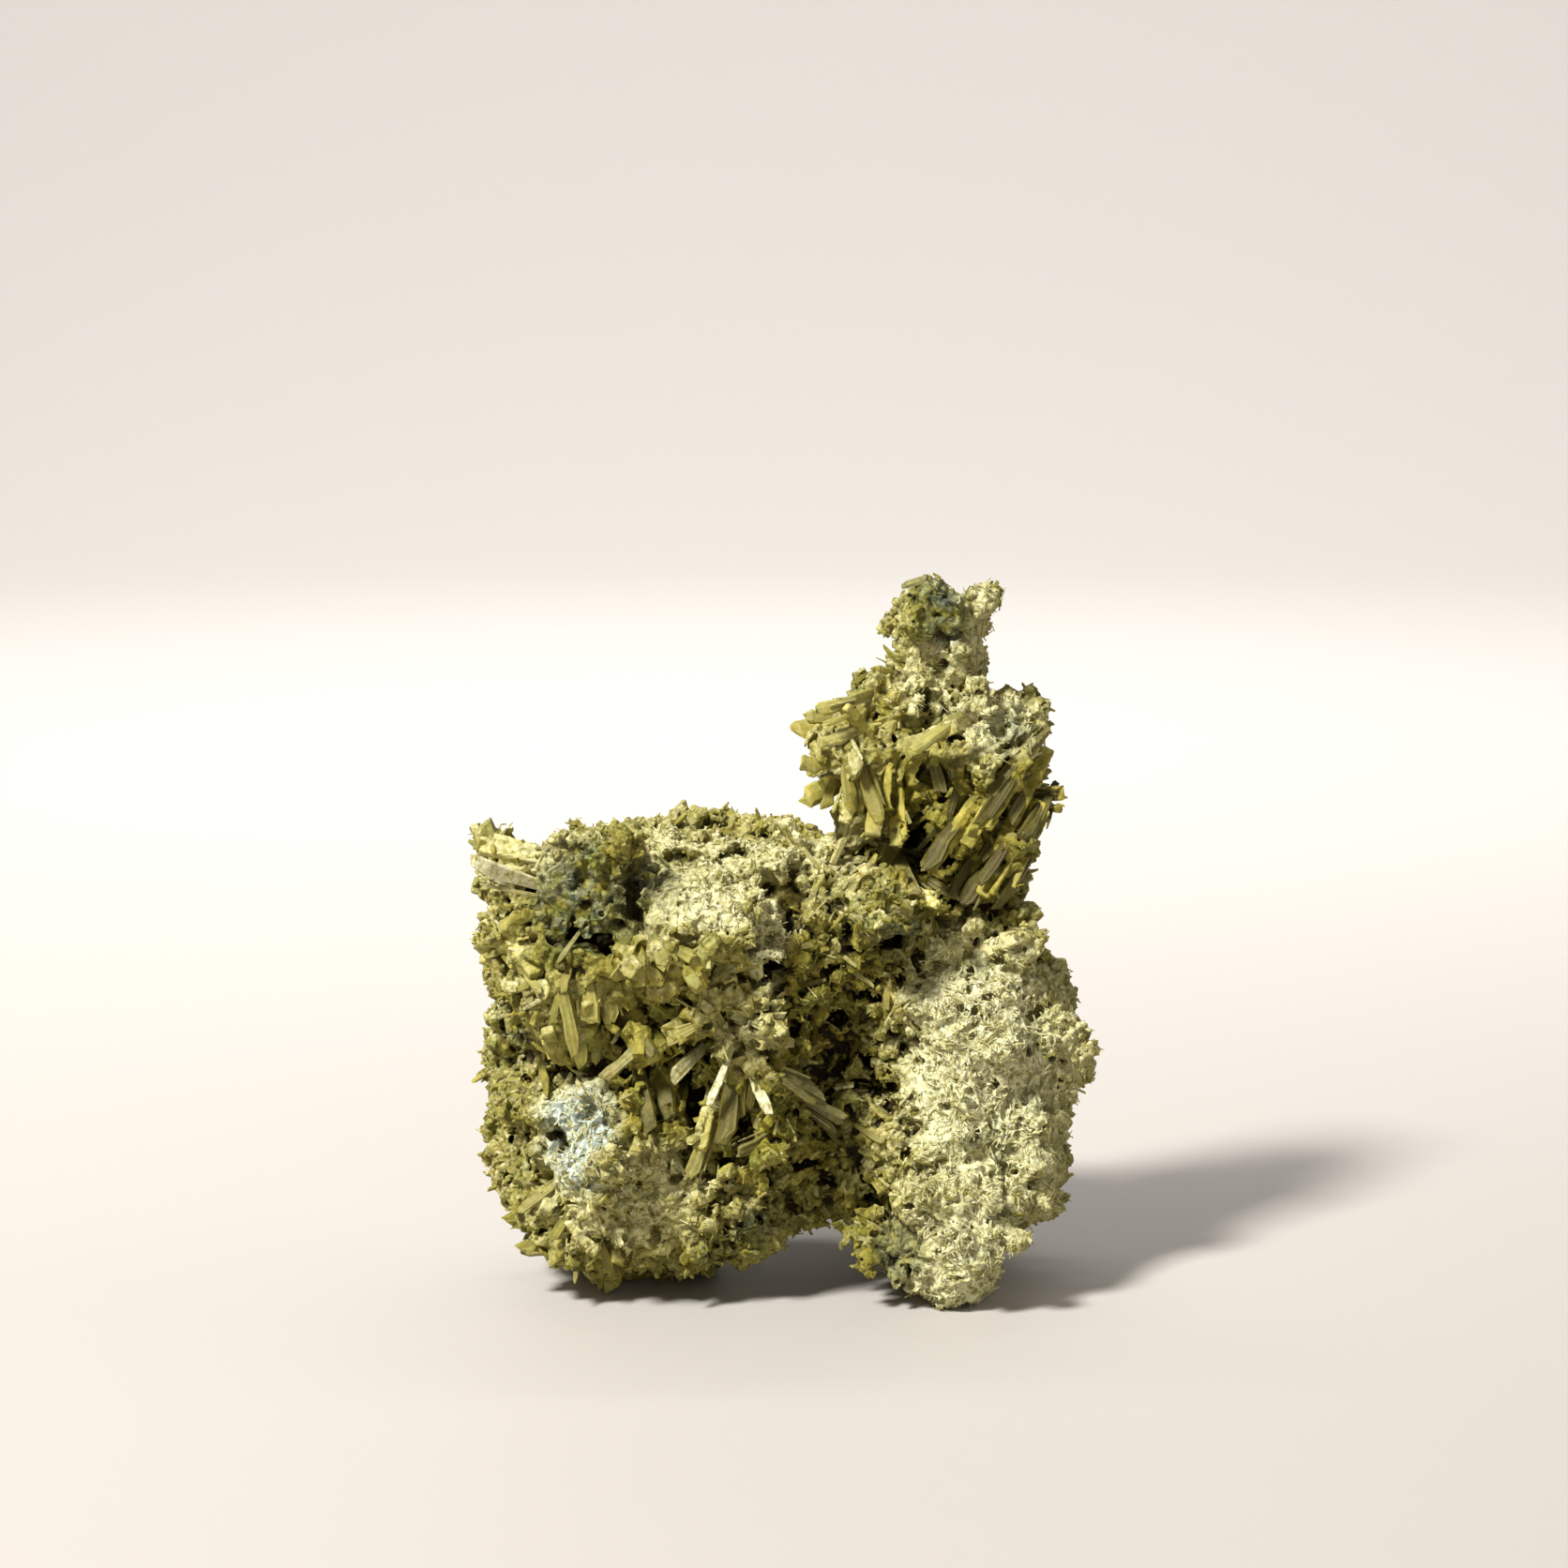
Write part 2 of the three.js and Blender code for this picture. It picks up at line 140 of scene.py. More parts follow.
# Painted shade: caves, the valley, the tower's underside and shaded flanks, made darker in colour.
SHADE_PLACES = [
    ((5, -13, 31), (8, 10, 17), 1),
    ((18.5, -7, 59), (9, 9, 9), 1.6),
    ((29, -5, 61), (7, 8, 8), 1.2),
    ((-17, -15, 27), (6, 6, 6), 0.7),
    ((0, -16, 24), (10, 7, 9), 0.9),
    ((1, -14, 43), (5, 6, 7), 0.8),
    ((-14, -15, 32), (7, 6, 8), 0.6),
    ((-23, -14, 45), (8, 7, 3), 0.9),
    ((-18.5, -15, 51), (2.4, 6, 4.5), 1.2),
    ((-23, -15, 49), (5, 6, 2.6), 0.8),
    ((20, -3, 52), (8, 8, 5), 1.1),
    ((22, -6, 55), (9, 9, 7), 0.9),
    ((9, -5, 61), (5, 7, 6), 0.4),
    ((8, -14, 10), (9, 8, 7), 0.7),
]

# Where painted light goes in between clear crystals: less painted shade and more of the blades' tone.
LIT = [
    ((-13, -17, 43), (9, 8, 5.5), 1),
    ((-24, -15, 12), (12, 9, 10), 0.6),
    ((5, -3, 67), (4.5, 7, 7), 0.6),
]

# Lumps that widen the right foot and the tower's top: centre, half sizes.
FILLS = [
    ((15.5, -11, 8.5), (4, 4, 4.5)), ((12.2, -10, 8), (3.6, 4, 3)), ((16.8, -12, 3.6), (2.8, 3.6, 3)),
    ((14.4, -11.5, 5), (2.6, 3, 2.4)), ((9.4, -9.5, 8.6), (3, 3.4, 2)), ((21, -15.5, 15), (5, 4, 4)),
    ((27, -13, 14), (4, 3.4, 4)), ((16.5, -13.5, 14), (3.6, 3.6, 4)), ((23.7, -2, 87.4), (2.8, 3.4, 3.1)),
    ((22, -2, 82), (2, 3, 3.4)), ((16.6, -2, 84.8), (3, 3.4, 3)), ((17.6, -2, 88), (2.2, 3.2, 2.3)),
    ((21, -2.4, 85.4), (3, 3.2, 3.2)),
]

# What is worn off the tower, so that its top has two blunt ends: centre, half sizes.
TRIMS = [
    ((17.6, -2, 93.4), (3.6, 8, 3)), ((12.6, -2, 91.4), (2.6, 8, 3.6)), ((20.5, -3, 91.8), (1.2, 6, 2.2)),
    ((28.3, -2, 80.2), (4, 8, 4.6)), ((34.5, -2, 77.8), (3.6, 8, 2.8)),
    ((20, -7.5, 92), (7, 3.6, 4.5)), ((20, 10, 92), (7, 3.6, 5)),
]

# What stands out of the front and what is sunk in it, as seen from there:
# place across and up, half sizes, and how far out or in.
BUMPS = [
    (-3.6, 52.8, 0.9, 1.9, 1.4), (-3.2, 49.4, 0.9, 1.9, 1.8), (-4.5, 45.6, 1.1, 1.9, 1.8),
    (-6.1, 41.7, 1.1, 1.7, 2), (-8.1, 38.4, 1.2, 1.4, 2.2), (-8.5, 35, 1.1, 1.7, 2.2),
    (-7.4, 31.9, 1.1, 1.2, 2), (-10.2, 38.5, 1.4, 1, 1.8), (-13.2, 36.9, 1.2, 1, 1.6),
    (-15.9, 35, 1.4, 1, 1.6), (-3.1, 33.5, 2.1, 1.8, 2.4), (-18.8, 45.8, 1.7, 0.8, 1.4),
    (-15, 45.1, 1.9, 0.8, 1.6), (-10.4, 44.8, 1.9, 0.8, 1.6), (-18.3, 42.2, 1.7, 1.3, 1.4),
    (-15, 39.6, 1.8, 1.3, 1.6), (-11.2, 41.7, 1.7, 1.4, 1.4), (-26.1, 59.5, 1.1, 1.4, 1.8),
    (-22.1, 59.7, 0.9, 1.7, 1.8), (-28.7, 55.8, 1.9, 1.4, 1.2), (-6.2, 10.2, 2.4, 1.4, 2.2),
    (-9, 15, 1.4, 1.8, 1.8), (-1.7, 17, 1.7, 1.1, 1.4), (-23.5, 15.8, 2.4, 1.4, 1.4),
    (-29.9, 28.7, 1.2, 1.7, 1.4), (6.6, 67.4, 1.5, 1.7, 1.6), (22.6, 74.4, 2.8, 1, 1.4),
    (28.7, 70.8, 1.7, 1.7, 1.2), (-15.8, 30.9, 1.9, 1.4, 1.8), (-12.2, 33.3, 1.2, 1.2, 1.6),
    (-33, 14.3, 1.7, 1.7, 1.4), (-25.9, 4.7, 2.4, 1.2, 1.2), (31.1, 15.5, 1.7, 2.4, 1.4),
    (21.6, 8.3, 1.9, 2.4, 1.2), (10.9, 47.4, 2.1, 1.7, 1.6), (19.2, 43.2, 1.7, 1.7, 1.4),
    (-27.8, 53.6, 3.4, 4.2, 1.6), (-22.6, 54.6, 3.4, 4.4, 2), (-18.9, 51.6, 2.6, 3.6, 2.4),
    (-25.9, 59.8, 1.2, 1.6, 1.6), (-22.3, 60.2, 1.1, 1.8, 1.6), (-20.4, 57, 2.2, 2.4, 2),
    (26.4, 6.4, 3.2, 3, 1.4), (24.4, 4, 2, 2.4, 1.2), (23.9, 87.4, 2, 2.6, 1.2),
    (-36.6, 57.6, 1, 1.6, 1.2),
]
GAPS = [
    (-25.6, 45, 4.6, 1.3, 4.5), (-19, 50.4, 1.1, 3.4, 4.5), (-35, 47.1, 1.1, 1, 2.5),
    (-13.4, 54.9, 3.2, 0.8, 3.5), (-6.6, 55, 2.2, 0.5, 2.5), (-2.1, 51, 0.8, 1.6, 2.5),
    (0.6, 48.4, 1.1, 2.4, 3), (-20.9, 31.6, 1.2, 3.1, 4), (-14.5, 36.8, 1.4, 1, 2.5),
    (-2.5, 40.6, 3.4, 1.5, 5), (-20.6, 45.7, 2.4, 1.1, 4), (1.3, 31.6, 1.2, 1.7, 3.5),
    (-12.8, 25.5, 1.1, 2.4, 4),
    (-35.8, 42, 0.7, 0.7, 2), (-22.2, 43.8, 1.7, 1.2, 3), (-1.7, 44.6, 0.7, 0.7, 2),
    (-9.7, 29.5, 0.8, 0.8, 2.5), (0.9, 25.5, 1.1, 1.1, 3), (-0.9, 44, 0.7, 1.1, 2.5),
    (6.4, 34.7, 1.4, 1.7, 3), (10.2, 28.6, 1.1, 1, 2.5), (10.7, 25.1, 2, 0.8, 3),
    (-11.4, 22.7, 1.4, 2.2, 4), (-5.9, 19.6, 1.4, 2.2, 4), (4.9, 13, 1.1, 1.2, 3),
    (6.4, 10.5, 1.1, 0.7, 2), (2.1, 15.5, 2.4, 1, 2.5), (-2.5, 13, 0.6, 1.4, 2),
    (10.8, 11.4, 0.7, 1.7, 2), (2.7, 38.4, 1.1, 0.6, 2), (13.5, 44.8, 1.2, 1, 2),
    (-1.5, 24.9, 0.6, 1.2, 2), (13.9, 22.5, 1.2, 0.7, 2), (23.9, 19.1, 0.5, 0.5, 2),
    (15.3, 17.1, 0.6, 0.7, 3), (15.7, 19.6, 0.7, 0.4, 2), (16.7, 41.6, 0.7, 1.2, 2),
    (10.3, 37.3, 1.7, 1.2, 2.5), (14.2, 38.7, 0.7, 0.8, 2), (30.6, 29.7, 0.5, 0.5, 1.2),
    (6.1, 7.7, 1.4, 1.1, 2), (22.1, 35.5, 0.8, 0.5, 1.2), (19.8, 61.5, 4.6, 3.4, 7),
    (18, 56.8, 3.8, 3.6, 7), (15.4, 64.6, 2.8, 2.4, 6),
    (27.4, 64.9, 1.1, 1.9, 3), (14.8, 66.4, 1.4, 1.4, 3), (16.7, 56.6, 3.1, 1.7, 4),
    (17.2, 73.6, 0.5, 0.5, 1), (20.8, 69.4, 2.4, 0.6, 2), (22.6, 58.8, 0.7, 2.4, 3),
    (13.4, 74.9, 0.4, 0.5, 1.2), (7.8, 63.4, 0.6, 1.1, 2), (-30.4, 12.9, 0.9, 0.7, 2),
    (-23.5, 9.5, 0.8, 0.6, 2), (-33, 22.7, 0.7, 1.1, 2), (-16.4, 4.7, 1.1, 0.6, 2),
    (2.6, 53.4, 1.2, 0.6, 2), (8, 43.2, 0.9, 0.7, 2), (12.1, 16.1, 0.8, 0.8, 2),
]

# Single crystals, as in the solid: foot, tip, width, thickness, and how pale its dust is.
BLADES = {
    "horn": ((-35, -5, 53), (-37.4, -6, 59.6), 3, 2.4, 0.3),
    "stalactite": ((-21, -6, 9), (-21.8, -6.5, 1.4), 3, 2.4, 0.2),
    "left_point_high": ((-26, -5, 14), (-34.4, -8, 12.6), 3, 1.7, 0.1),
    "left_point_mid": ((-26, -5, 12), (-34, -9, 10), 3, 1.7, 0.1),
    "left_point_low": ((-25, -5, 9), (-32, -8.5, 6.8), 3, 1.7, 0.2),
    "tower_tip_back": ((10, 3, 71.5), (3, 5, 70), 2.3, 1.5, 0.1),
    "tower_tip_under": ((9, 1, 69), (3.4, 1, 65.4), 2.2, 1.5, 0),
    "rim_spike": ((33, 0, 28.5), (39.2, -1, 27.4), 3.4, 1.7, 0.2),
}

# Blades that only shape the crust, because crystals of the front stand on them.
CORES = {
    "star_high": ((-8, -12, 39), (-14.5, -18.5, 36), 3.4, 1.7, 0.4),
    "star_low": ((-8.4, -8, 29), (-10.6, -18, 21.4), 2.4, 1.7, 0.3),
    "plate": ((-23, -10, 43), (-16.4, -15.5, 31.5), 4.4, 1.7, 0.2),
    "big_facet": ((-36, -7, 44), (-28, -16, 48.6), 5.5, 3.2, 0),
    "ledge_blade": ((-27, -11, 56), (-37.6, -12, 58.2), 3, 2, 1),
    "tower_tip_far": ((9.9, -2, 72.7), (4.2, -3.7, 71.5), 2.3, 1.5, 0.1),
    "tower_tip_top": ((11, -1, 74.1), (6, -2, 74.4), 2.2, 1.5, 0.1),
    "tower_tip_mid": ((11, -3, 71.5), (6.4, -5.4, 70.8), 2.3, 1.5, 0.2),
    "tower_tip_near": ((8.5, -3, 69.3), (4, -4.6, 68), 2.4, 1.5, 0.1),
    "tower_tip_low": ((7.5, -3, 66.5), (4.2, -5.2, 64.2), 2.4, 1.6, 0),
    "tower_hang_left": ((9.5, -5, 68.5), (7.2, -8.5, 60.2), 2.4, 1.5, 0.4),
    "tower_hang_mid": ((11.5, -5, 67), (10.6, -9.5, 58.8), 2.6, 1.5, 0),
    "tower_hang_right": ((13.5, -5, 64), (13.6, -9, 57.4), 2.2, 1.4, 0.1),
    "tower_bright": ((14, -4, 69), (21, -10.5, 73), 2.8, 1.4, 0.35),
    "tower_long_top": ((30.4, -3, 69), (24.3, -8.6, 59.8), 2.6, 1.3, 0.05),
    "tower_long_far": ((32.4, -1, 68), (27, -6.6, 58.5), 2.4, 1.3, 0),
    "tower_long_leaf": ((25.5, -5, 65), (17.2, -9.6, 54.8), 3, 1.3, 0.2),
    "tower_long_low": ((31.4, -3, 61.6), (24, -8.8, 51.2), 2.6, 1.3, 0.05),
    "tower_long_edge": ((32.6, 0, 62.4), (27.4, -5.4, 53), 2.4, 1.3, 0),
    "tower_long_mid": ((27.6, -5, 66.5), (22, -9.2, 57.6), 2.4, 1.3, 0.1),
    "pale_top_right": ((12, -9, 53.4), (19, -14, 51), 1.8, 1.4, 0.7),
}

# Crystals of the front, as seen from there: foot across and up, tip across and up, width,
# how far the tip stands off, and how pale its dust is. The lobes have round ends.
LATHS = [
    (-28.1, 39.7, -29.3, 34.6, 1, 1, 0.15), (-28.3, 39.3, -26.6, 30.7, 1.9, 1.6, 0.25),
    (-25, 39.4, -24.2, 33.8, 2.4, 1.2, 0.25), (-22.9, 39.2, -21.8, 34.4, 2.4, 1, 0.2),
    (-21.2, 35.9, -17, 30.7, 2, 1.2, 0.1),
    (-24.3, 33.4, -26.6, 31.5, 0.6, 2, 0.7), (-20.4, 33.8, -22, 31.3, 0.6, 2, 0.7),
    (-29, 37.1, -29.7, 29.9, 1.4, 1, 0.1), (-25.9, 32.3, -25.8, 28.9, 1.7, 0.8, 0.1),
    (-23.9, 32.8, -24, 28.7, 1.2, 0.6, 0.1), (-18.5, 30.9, -22.8, 27.2, 1.8, 2, 0.45),
    (-18.8, 28.4, -17.6, 21.8, 2.5, 0.8, 0.05), (-16.6, 28.8, -14.8, 22.2, 2.6, 1, 0.1),
    (-12.9, 26.8, -13.9, 22.5, 2.4, 0.8, 0.1),
    (-31.2, 29.7, -30.3, 25.4, 1.5, 1.2, 0.1), (-29.9, 37.6, -33, 36.1, 0.5, 1.6, 0.8),
    (-34.3, 37.9, -32.3, 39.3, 1, 1.2, 0.2), (-28.7, 43.6, -28.1, 41, 1.4, 1.2, 0.1),
    (-25.6, 46.3, -28.6, 42.2, 0.7, 1.6, 0.4), (-34.8, 46.2, -30.3, 40.5, 4.3, 1, 0.05),
    (-33, 40.8, -30.9, 38.1, 1.1, 1.2, 0.3), (-27.1, 42, -27.9, 38.8, 1.1, 1.4, 0.3),
    (-5.1, 29.9, -2, 22.2, 1.5, 2.8, 1), (-7.1, 29.9, -9.6, 23.8, 1.1, 2.6, 1),
    (-6.5, 29.7, -7.7, 18.6, 2.6, 1.8, 0.1), (-5.7, 29.5, -5.5, 22.4, 1.4, 1.2, 0.1),
    (-3.9, 27.5, -4.7, 22.7, 1.1, 1, 0.1), (-1.5, 28.6, 3.6, 26, 0.9, 2.2, 0.6),
    (-1.4, 28, 4.4, 25, 1.3, 2.4, 0.55), (-1.2, 27.2, 3.6, 24, 1.1, 1.8, 0.3),
    (0.6, 26, 5.2, 23.6, 1, 1.8, 0.3),
    (1.6, 24.8, 7.8, 21.6, 1, 2.6, 0.65), (1.4, 24.2, 7.4, 20.8, 1.2, 2.4, 0.5),
    (1.2, 23.4, 6.4, 20, 1.2, 1.8, 0.2), (-9, 21.4, -12.3, 13.9, 1.7, 2.2, 0.25),
    (-1.7, 19.5, -6.2, 17.1, 1.7, 2.2, 0.45), (2.7, 19.2, -3.4, 15.2, 0.5, 1.4, 0.5),
    (-10.2, 30.9, -14.4, 26.7, 1.9, 2.4, 0.7), (-11.4, 33.5, -15, 31.9, 1.4, 1.6, 0.4),
    (-4.5, 34.7, 0, 33.3, 1.7, 1.4, 0.6), (-3.1, 32.6, 0.9, 31.6, 1.4, 1.4, 0.5),
    (0.2, 29.9, 2.8, 28.5, 1.1, 1.6, 0.3), (-8.7, 34.7, -10.2, 36.7, 1.4, 1.4, 0.5),
    (3.8, 22.5, 6.2, 18.9, 1, 1.4, 0.2), (8.3, 40.5, 11, 38.6, 0.6, 1.4, 0.5),
    (6.5, 42.9, 8.8, 41.2, 0.6, 1.4, 0.5), (0.2, 43.2, 3.3, 44.1, 0.7, 1.2, 0.4),
    (1.4, 38.4, 5, 39.6, 0.7, 1.2, 0.3), (8, 20.8, 12.1, 18.6, 0.7, 1.2, 0.4),
    (10.9, 16.7, 15.4, 17.7, 0.6, 1, 0.4), (-19.7, 44.4, -17.6, 42.4, 1.8, 1.2, 0.2),
    (-16.4, 44.8, -15, 42, 2.1, 1.2, 0.15), (-13.8, 43.9, -11.2, 42.7, 1.7, 1.2, 0.1),
    (-17.6, 41.5, -15.7, 39.6, 1.7, 1.2, 0.1), (-12.8, 41.5, -11.2, 39.3, 1.7, 1.2, 0.15),
    (-9.7, 44.4, -7.6, 42.9, 1.4, 1.2, 0.15), (21.1, 72.4, 16, 68.6, 2.3, 2.2, 0.3),
    (6.2, 68.6, 6.6, 65.3, 2.4, 1.6, 0.7), (8.1, 68.9, 9, 65.8, 1.9, 1.8, 0.6),
    (12.1, 68, 10.9, 64.7, 2.1, 1.6, 0.3), (18.2, 67.3, 19.7, 62.6, 1.8, 1.6, 0.5),
    (14.5, 64.8, 13.3, 60.2, 1.2, 0.6, 0.05), (22.8, 61, 17.6, 53.9, 2.2, 1.4, 0.05),
    (32.5, 61.9, 26.2, 56.4, 2.3, 1.2, 0.1), (29.6, 68, 25.4, 62.6, 1.6, 0.8, 0.05),
    (34.4, 66.6, 30.7, 60.2, 2.4, 1, 0.05), (27.8, 69.6, 22.6, 66.2, 1.7, 1.6, 0.3),
    (31.8, 60.9, 29.2, 57.1, 2.6, 1, 0.05), (27.1, 59.9, 22.6, 51.2, 2.4, 1.4, 0.1),
    (25.8, 54, 24, 49.2, 2.9, 1.4, 0.1), (21.4, 63.8, 20.4, 59.7, 1, 1, 0.1),
    (28.5, 65.3, 24, 59.7, 1.4, 1, 0.1), (30.6, 64.1, 27.8, 59.3, 1.4, 1.4, 0.3),
    (22.8, 68.4, 20.2, 65, 1.4, 1.4, 0.2), (33.5, 63.4, 31.1, 58.8, 1.4, 1.2, 0.1),
    (24, 55.8, 20.7, 50.4, 1.4, 1.2, 0.1), (13.8, 55.1, 16.4, 50.5, 2.1, 1.6, 0.55),
    (17.4, 52.2, 21, 50.1, 1.4, 1.4, 0.4), (2.7, 56.6, 7.5, 56.3, 1, 1.2, 0.6),
    (5.7, 53.7, 10.1, 54.8, 1.1, 1.2, 0.5), (8.8, 52.5, 11.9, 53.5, 1.2, 1.2, 0.5),
    (16.3, 60, 14.2, 56.4, 0.7, 0.8, 0.1), (19.2, 58.8, 16.6, 55.8, 0.7, 0.8, 0.1),
    (31.4, 62.4, 24.6, 54.9, 2, 2, 0.05), (33.6, 60.4, 28, 54.2, 1.8, 1.8, 0.1),
    (29.4, 66.4, 25.4, 60.4, 1.4, 1.4, 0.05),
    (34.2, 66.2, 31.2, 62.6, 1.8, 1.4, 0.1), (26.2, 54.2, 22, 49, 2.2, 2, 0.1),
    (28, 57, 24.2, 51.6, 1.5, 1.6, 0.1),
    (32.6, 57.6, 28.4, 51.4, 1.8, 1.4, 0.1), (30.2, 54.4, 26.6, 48.6, 1.7, 1.4, 0.15),
    (-33, 10.2, -34.7, 9.3, 1, 1.4, 0.2), (-29.4, 12.9, -33.5, 9.7, 1.4, 1.6, 0.3),
    (-27.5, 9.5, -29.7, 5.7, 1.4, 1.4, 0.1), (-23.5, 4.7, -22.3, 0.8, 1.7, 1.2, 0.05),
    (-31.6, 6.4, -30.6, 3.5, 1.2, 1.2, 0.1), (-33, 16.1, -35.4, 14.3, 1.1, 1.2, 0.2),
    (-16.4, 5.2, -19.2, 3.7, 1.2, 1.2, 0.1), (-33.9, 27.5, -36.6, 26.6, 1, 1, 0.2),
    (-35.4, 43.2, -38, 42.4, 1, 1, 0.2), (-31.2, 51.8, -38.7, 54.9, 2.2, 3.4, 1),
    (-31.4, 50.6, -37.2, 52.8, 1.2, 3, 0.95),
]
LOBES = [
    (5, 71.8, 0.9, 70.7, 2.6, 1, 0.2), (7.7, 74.2, 3.6, 73.7, 2.1, 1, 0.2),
    (10.3, 71.3, 4, 69.2, 1.8, 1.6, 0.35), (5.5, 66.5, 1.8, 66.8, 2, 1, 0.2),
    (5.9, 63.8, 2.3, 62.2, 2.9, 1.2, 0.05), (11.4, 75.5, 6.5, 74.4, 1.7, 1.2, 0.3),
    (13.9, 77.8, 10.9, 78.5, 1.4, 1, 0.3), (6.2, 72.2, 2.4, 72.7, 1.8, 0.4, 0.3),
    (6.4, 69.4, 2.8, 68.4, 1.9, 0.8, 0.1), (6.4, 65.4, 4.8, 61.2, 1.7, 1, 0),
    (7.6, 66.4, 8.2, 60.8, 2.1, 1.8, 0.05), (9.4, 66.2, 11.8, 59.2, 2.2, 1.4, 0),
    (11.8, 65, 13, 60.4, 1.5, 1, 0),
]

# Sprays of blades, as in the solid: root, axis, spread in degrees, count, length.
FANS = {
    "left_fan": ((-26.5, -10, 29), (-0.05, -0.42, 1), 24, 6, 13),
    "under_slab": ((-12, -8, 50), (0, -1, -0.75), 42, 5, 13),
    "left_edge": ((-29, -7, 40), (-1, -0.8, 0.1), 45, 4, 10),
    "low_centre": ((-6, -9, 16), (0.2, -1, 0), 50, 5, 9.5),
    "tower_tips": ((13, -1, 67), (-1, -0.25, 0.3), 44, 5, 11),
    "tower_right": ((25, 1, 62), (1, -0.3, 0.7), 35, 4, 12),
    "valley_fan": ((2, -6, 42), (0.5, -1, -0.1), 50, 3, 9),
    "top_front": ((3, -3, 53), (0.1, -0.8, 1), 48, 3, 8.5),
    "top_back": ((-8, 8, 50), (0, 0.8, 1), 60, 5, 9.5),
    "rim_fan": ((23, -3, 42), (1, -0.6, 0.2), 40, 4, 10.5),
    "right_side": ((31, 8, 22), (1, 0.3, 0), 50, 4, 9),
    "cave_fan": ((-8, 14, 36), (0, 1, 0.1), 52, 5, 13),
    "back_top": ((-22, 12, 48), (-0.4, 0.8, 0.6), 45, 5, 10),
    "back_left": ((-26, 10, 28), (-0.8, 0.8, 0), 50, 4, 11.5),
    "back_low": ((4, 16, 16), (-0.1, 1, -0.3), 50, 4, 10.5),
    "back_right": ((22, 12, 42), (0.5, 1, 0.3), 50, 4, 12),
    "tower_back": ((17, 4, 66), (-0.4, 1, 0.2), 48, 4, 10.5),
    "left_side": ((-30, 2, 26), (-1, 0, 0), 50, 4, 10),
}

# From this width on, a crystal of the front is part of the crust.
BROAD = 3.0

# The size of the sprays' blades.
FAN_WIDTH = 2.8
FAN_THICKNESS = 1.7

# Ways that the small blades lean in some places: centre, reach, direction, pull.
LEANS = [
    ((27, -6, 59), 10, (0.55, -0.35, 0.8), 1.6),
    ((8, -4, 66), 10, (-1, -0.3, 0.1), 1),
    ((-27, -12, 36), 8, (0.05, -0.35, 1), 1.4),
    ((8, -15, 28), 11, (0.75, -0.45, -0.35), 1),
    ((-31, -8, 11), 7, (-1, -0.3, -0.2), 1.4),
    ((-18, -8, 5), 9, (-0.1, -0.4, -1), 1.2),
]


def unit(v):
    v = np.asarray(v, float)
    return v / np.maximum(np.linalg.norm(v, axis=-1, keepdims=True), 1e-9)


def span(start, end):
    """The two ends as arrays, the way from one to the other and how far that is."""
    start, end = np.array(start, float), np.array(end, float)
    return start, end, unit(end - start), np.linalg.norm(end - start)


def square_to(direction):
    """Two directions square to this one, worked out as the solid's are."""
    helper = np.array((1.0, 0, 0)) if abs(direction[2]) > 0.9 else np.array((0, 0, 1.0))
    first = unit(np.cross(helper, direction))
    return first, np.cross(direction, first)


def frames(along, face):
    """Across and out, square to along, with out turned towards face."""
    across = unit(np.cross(along, face))
    return across, np.cross(across, along)


def nearness(points, places):
    """How much of each point lies in the places, 0 to 1."""
    best = np.zeros(len(points))
    for centre, half, strength in places:
        away = np.linalg.norm((points - centre) / np.asarray(half, float), axis=1)
        best = np.maximum(best, np.clip(2.4 - 2 * away, 0, 1) * strength)
    return best


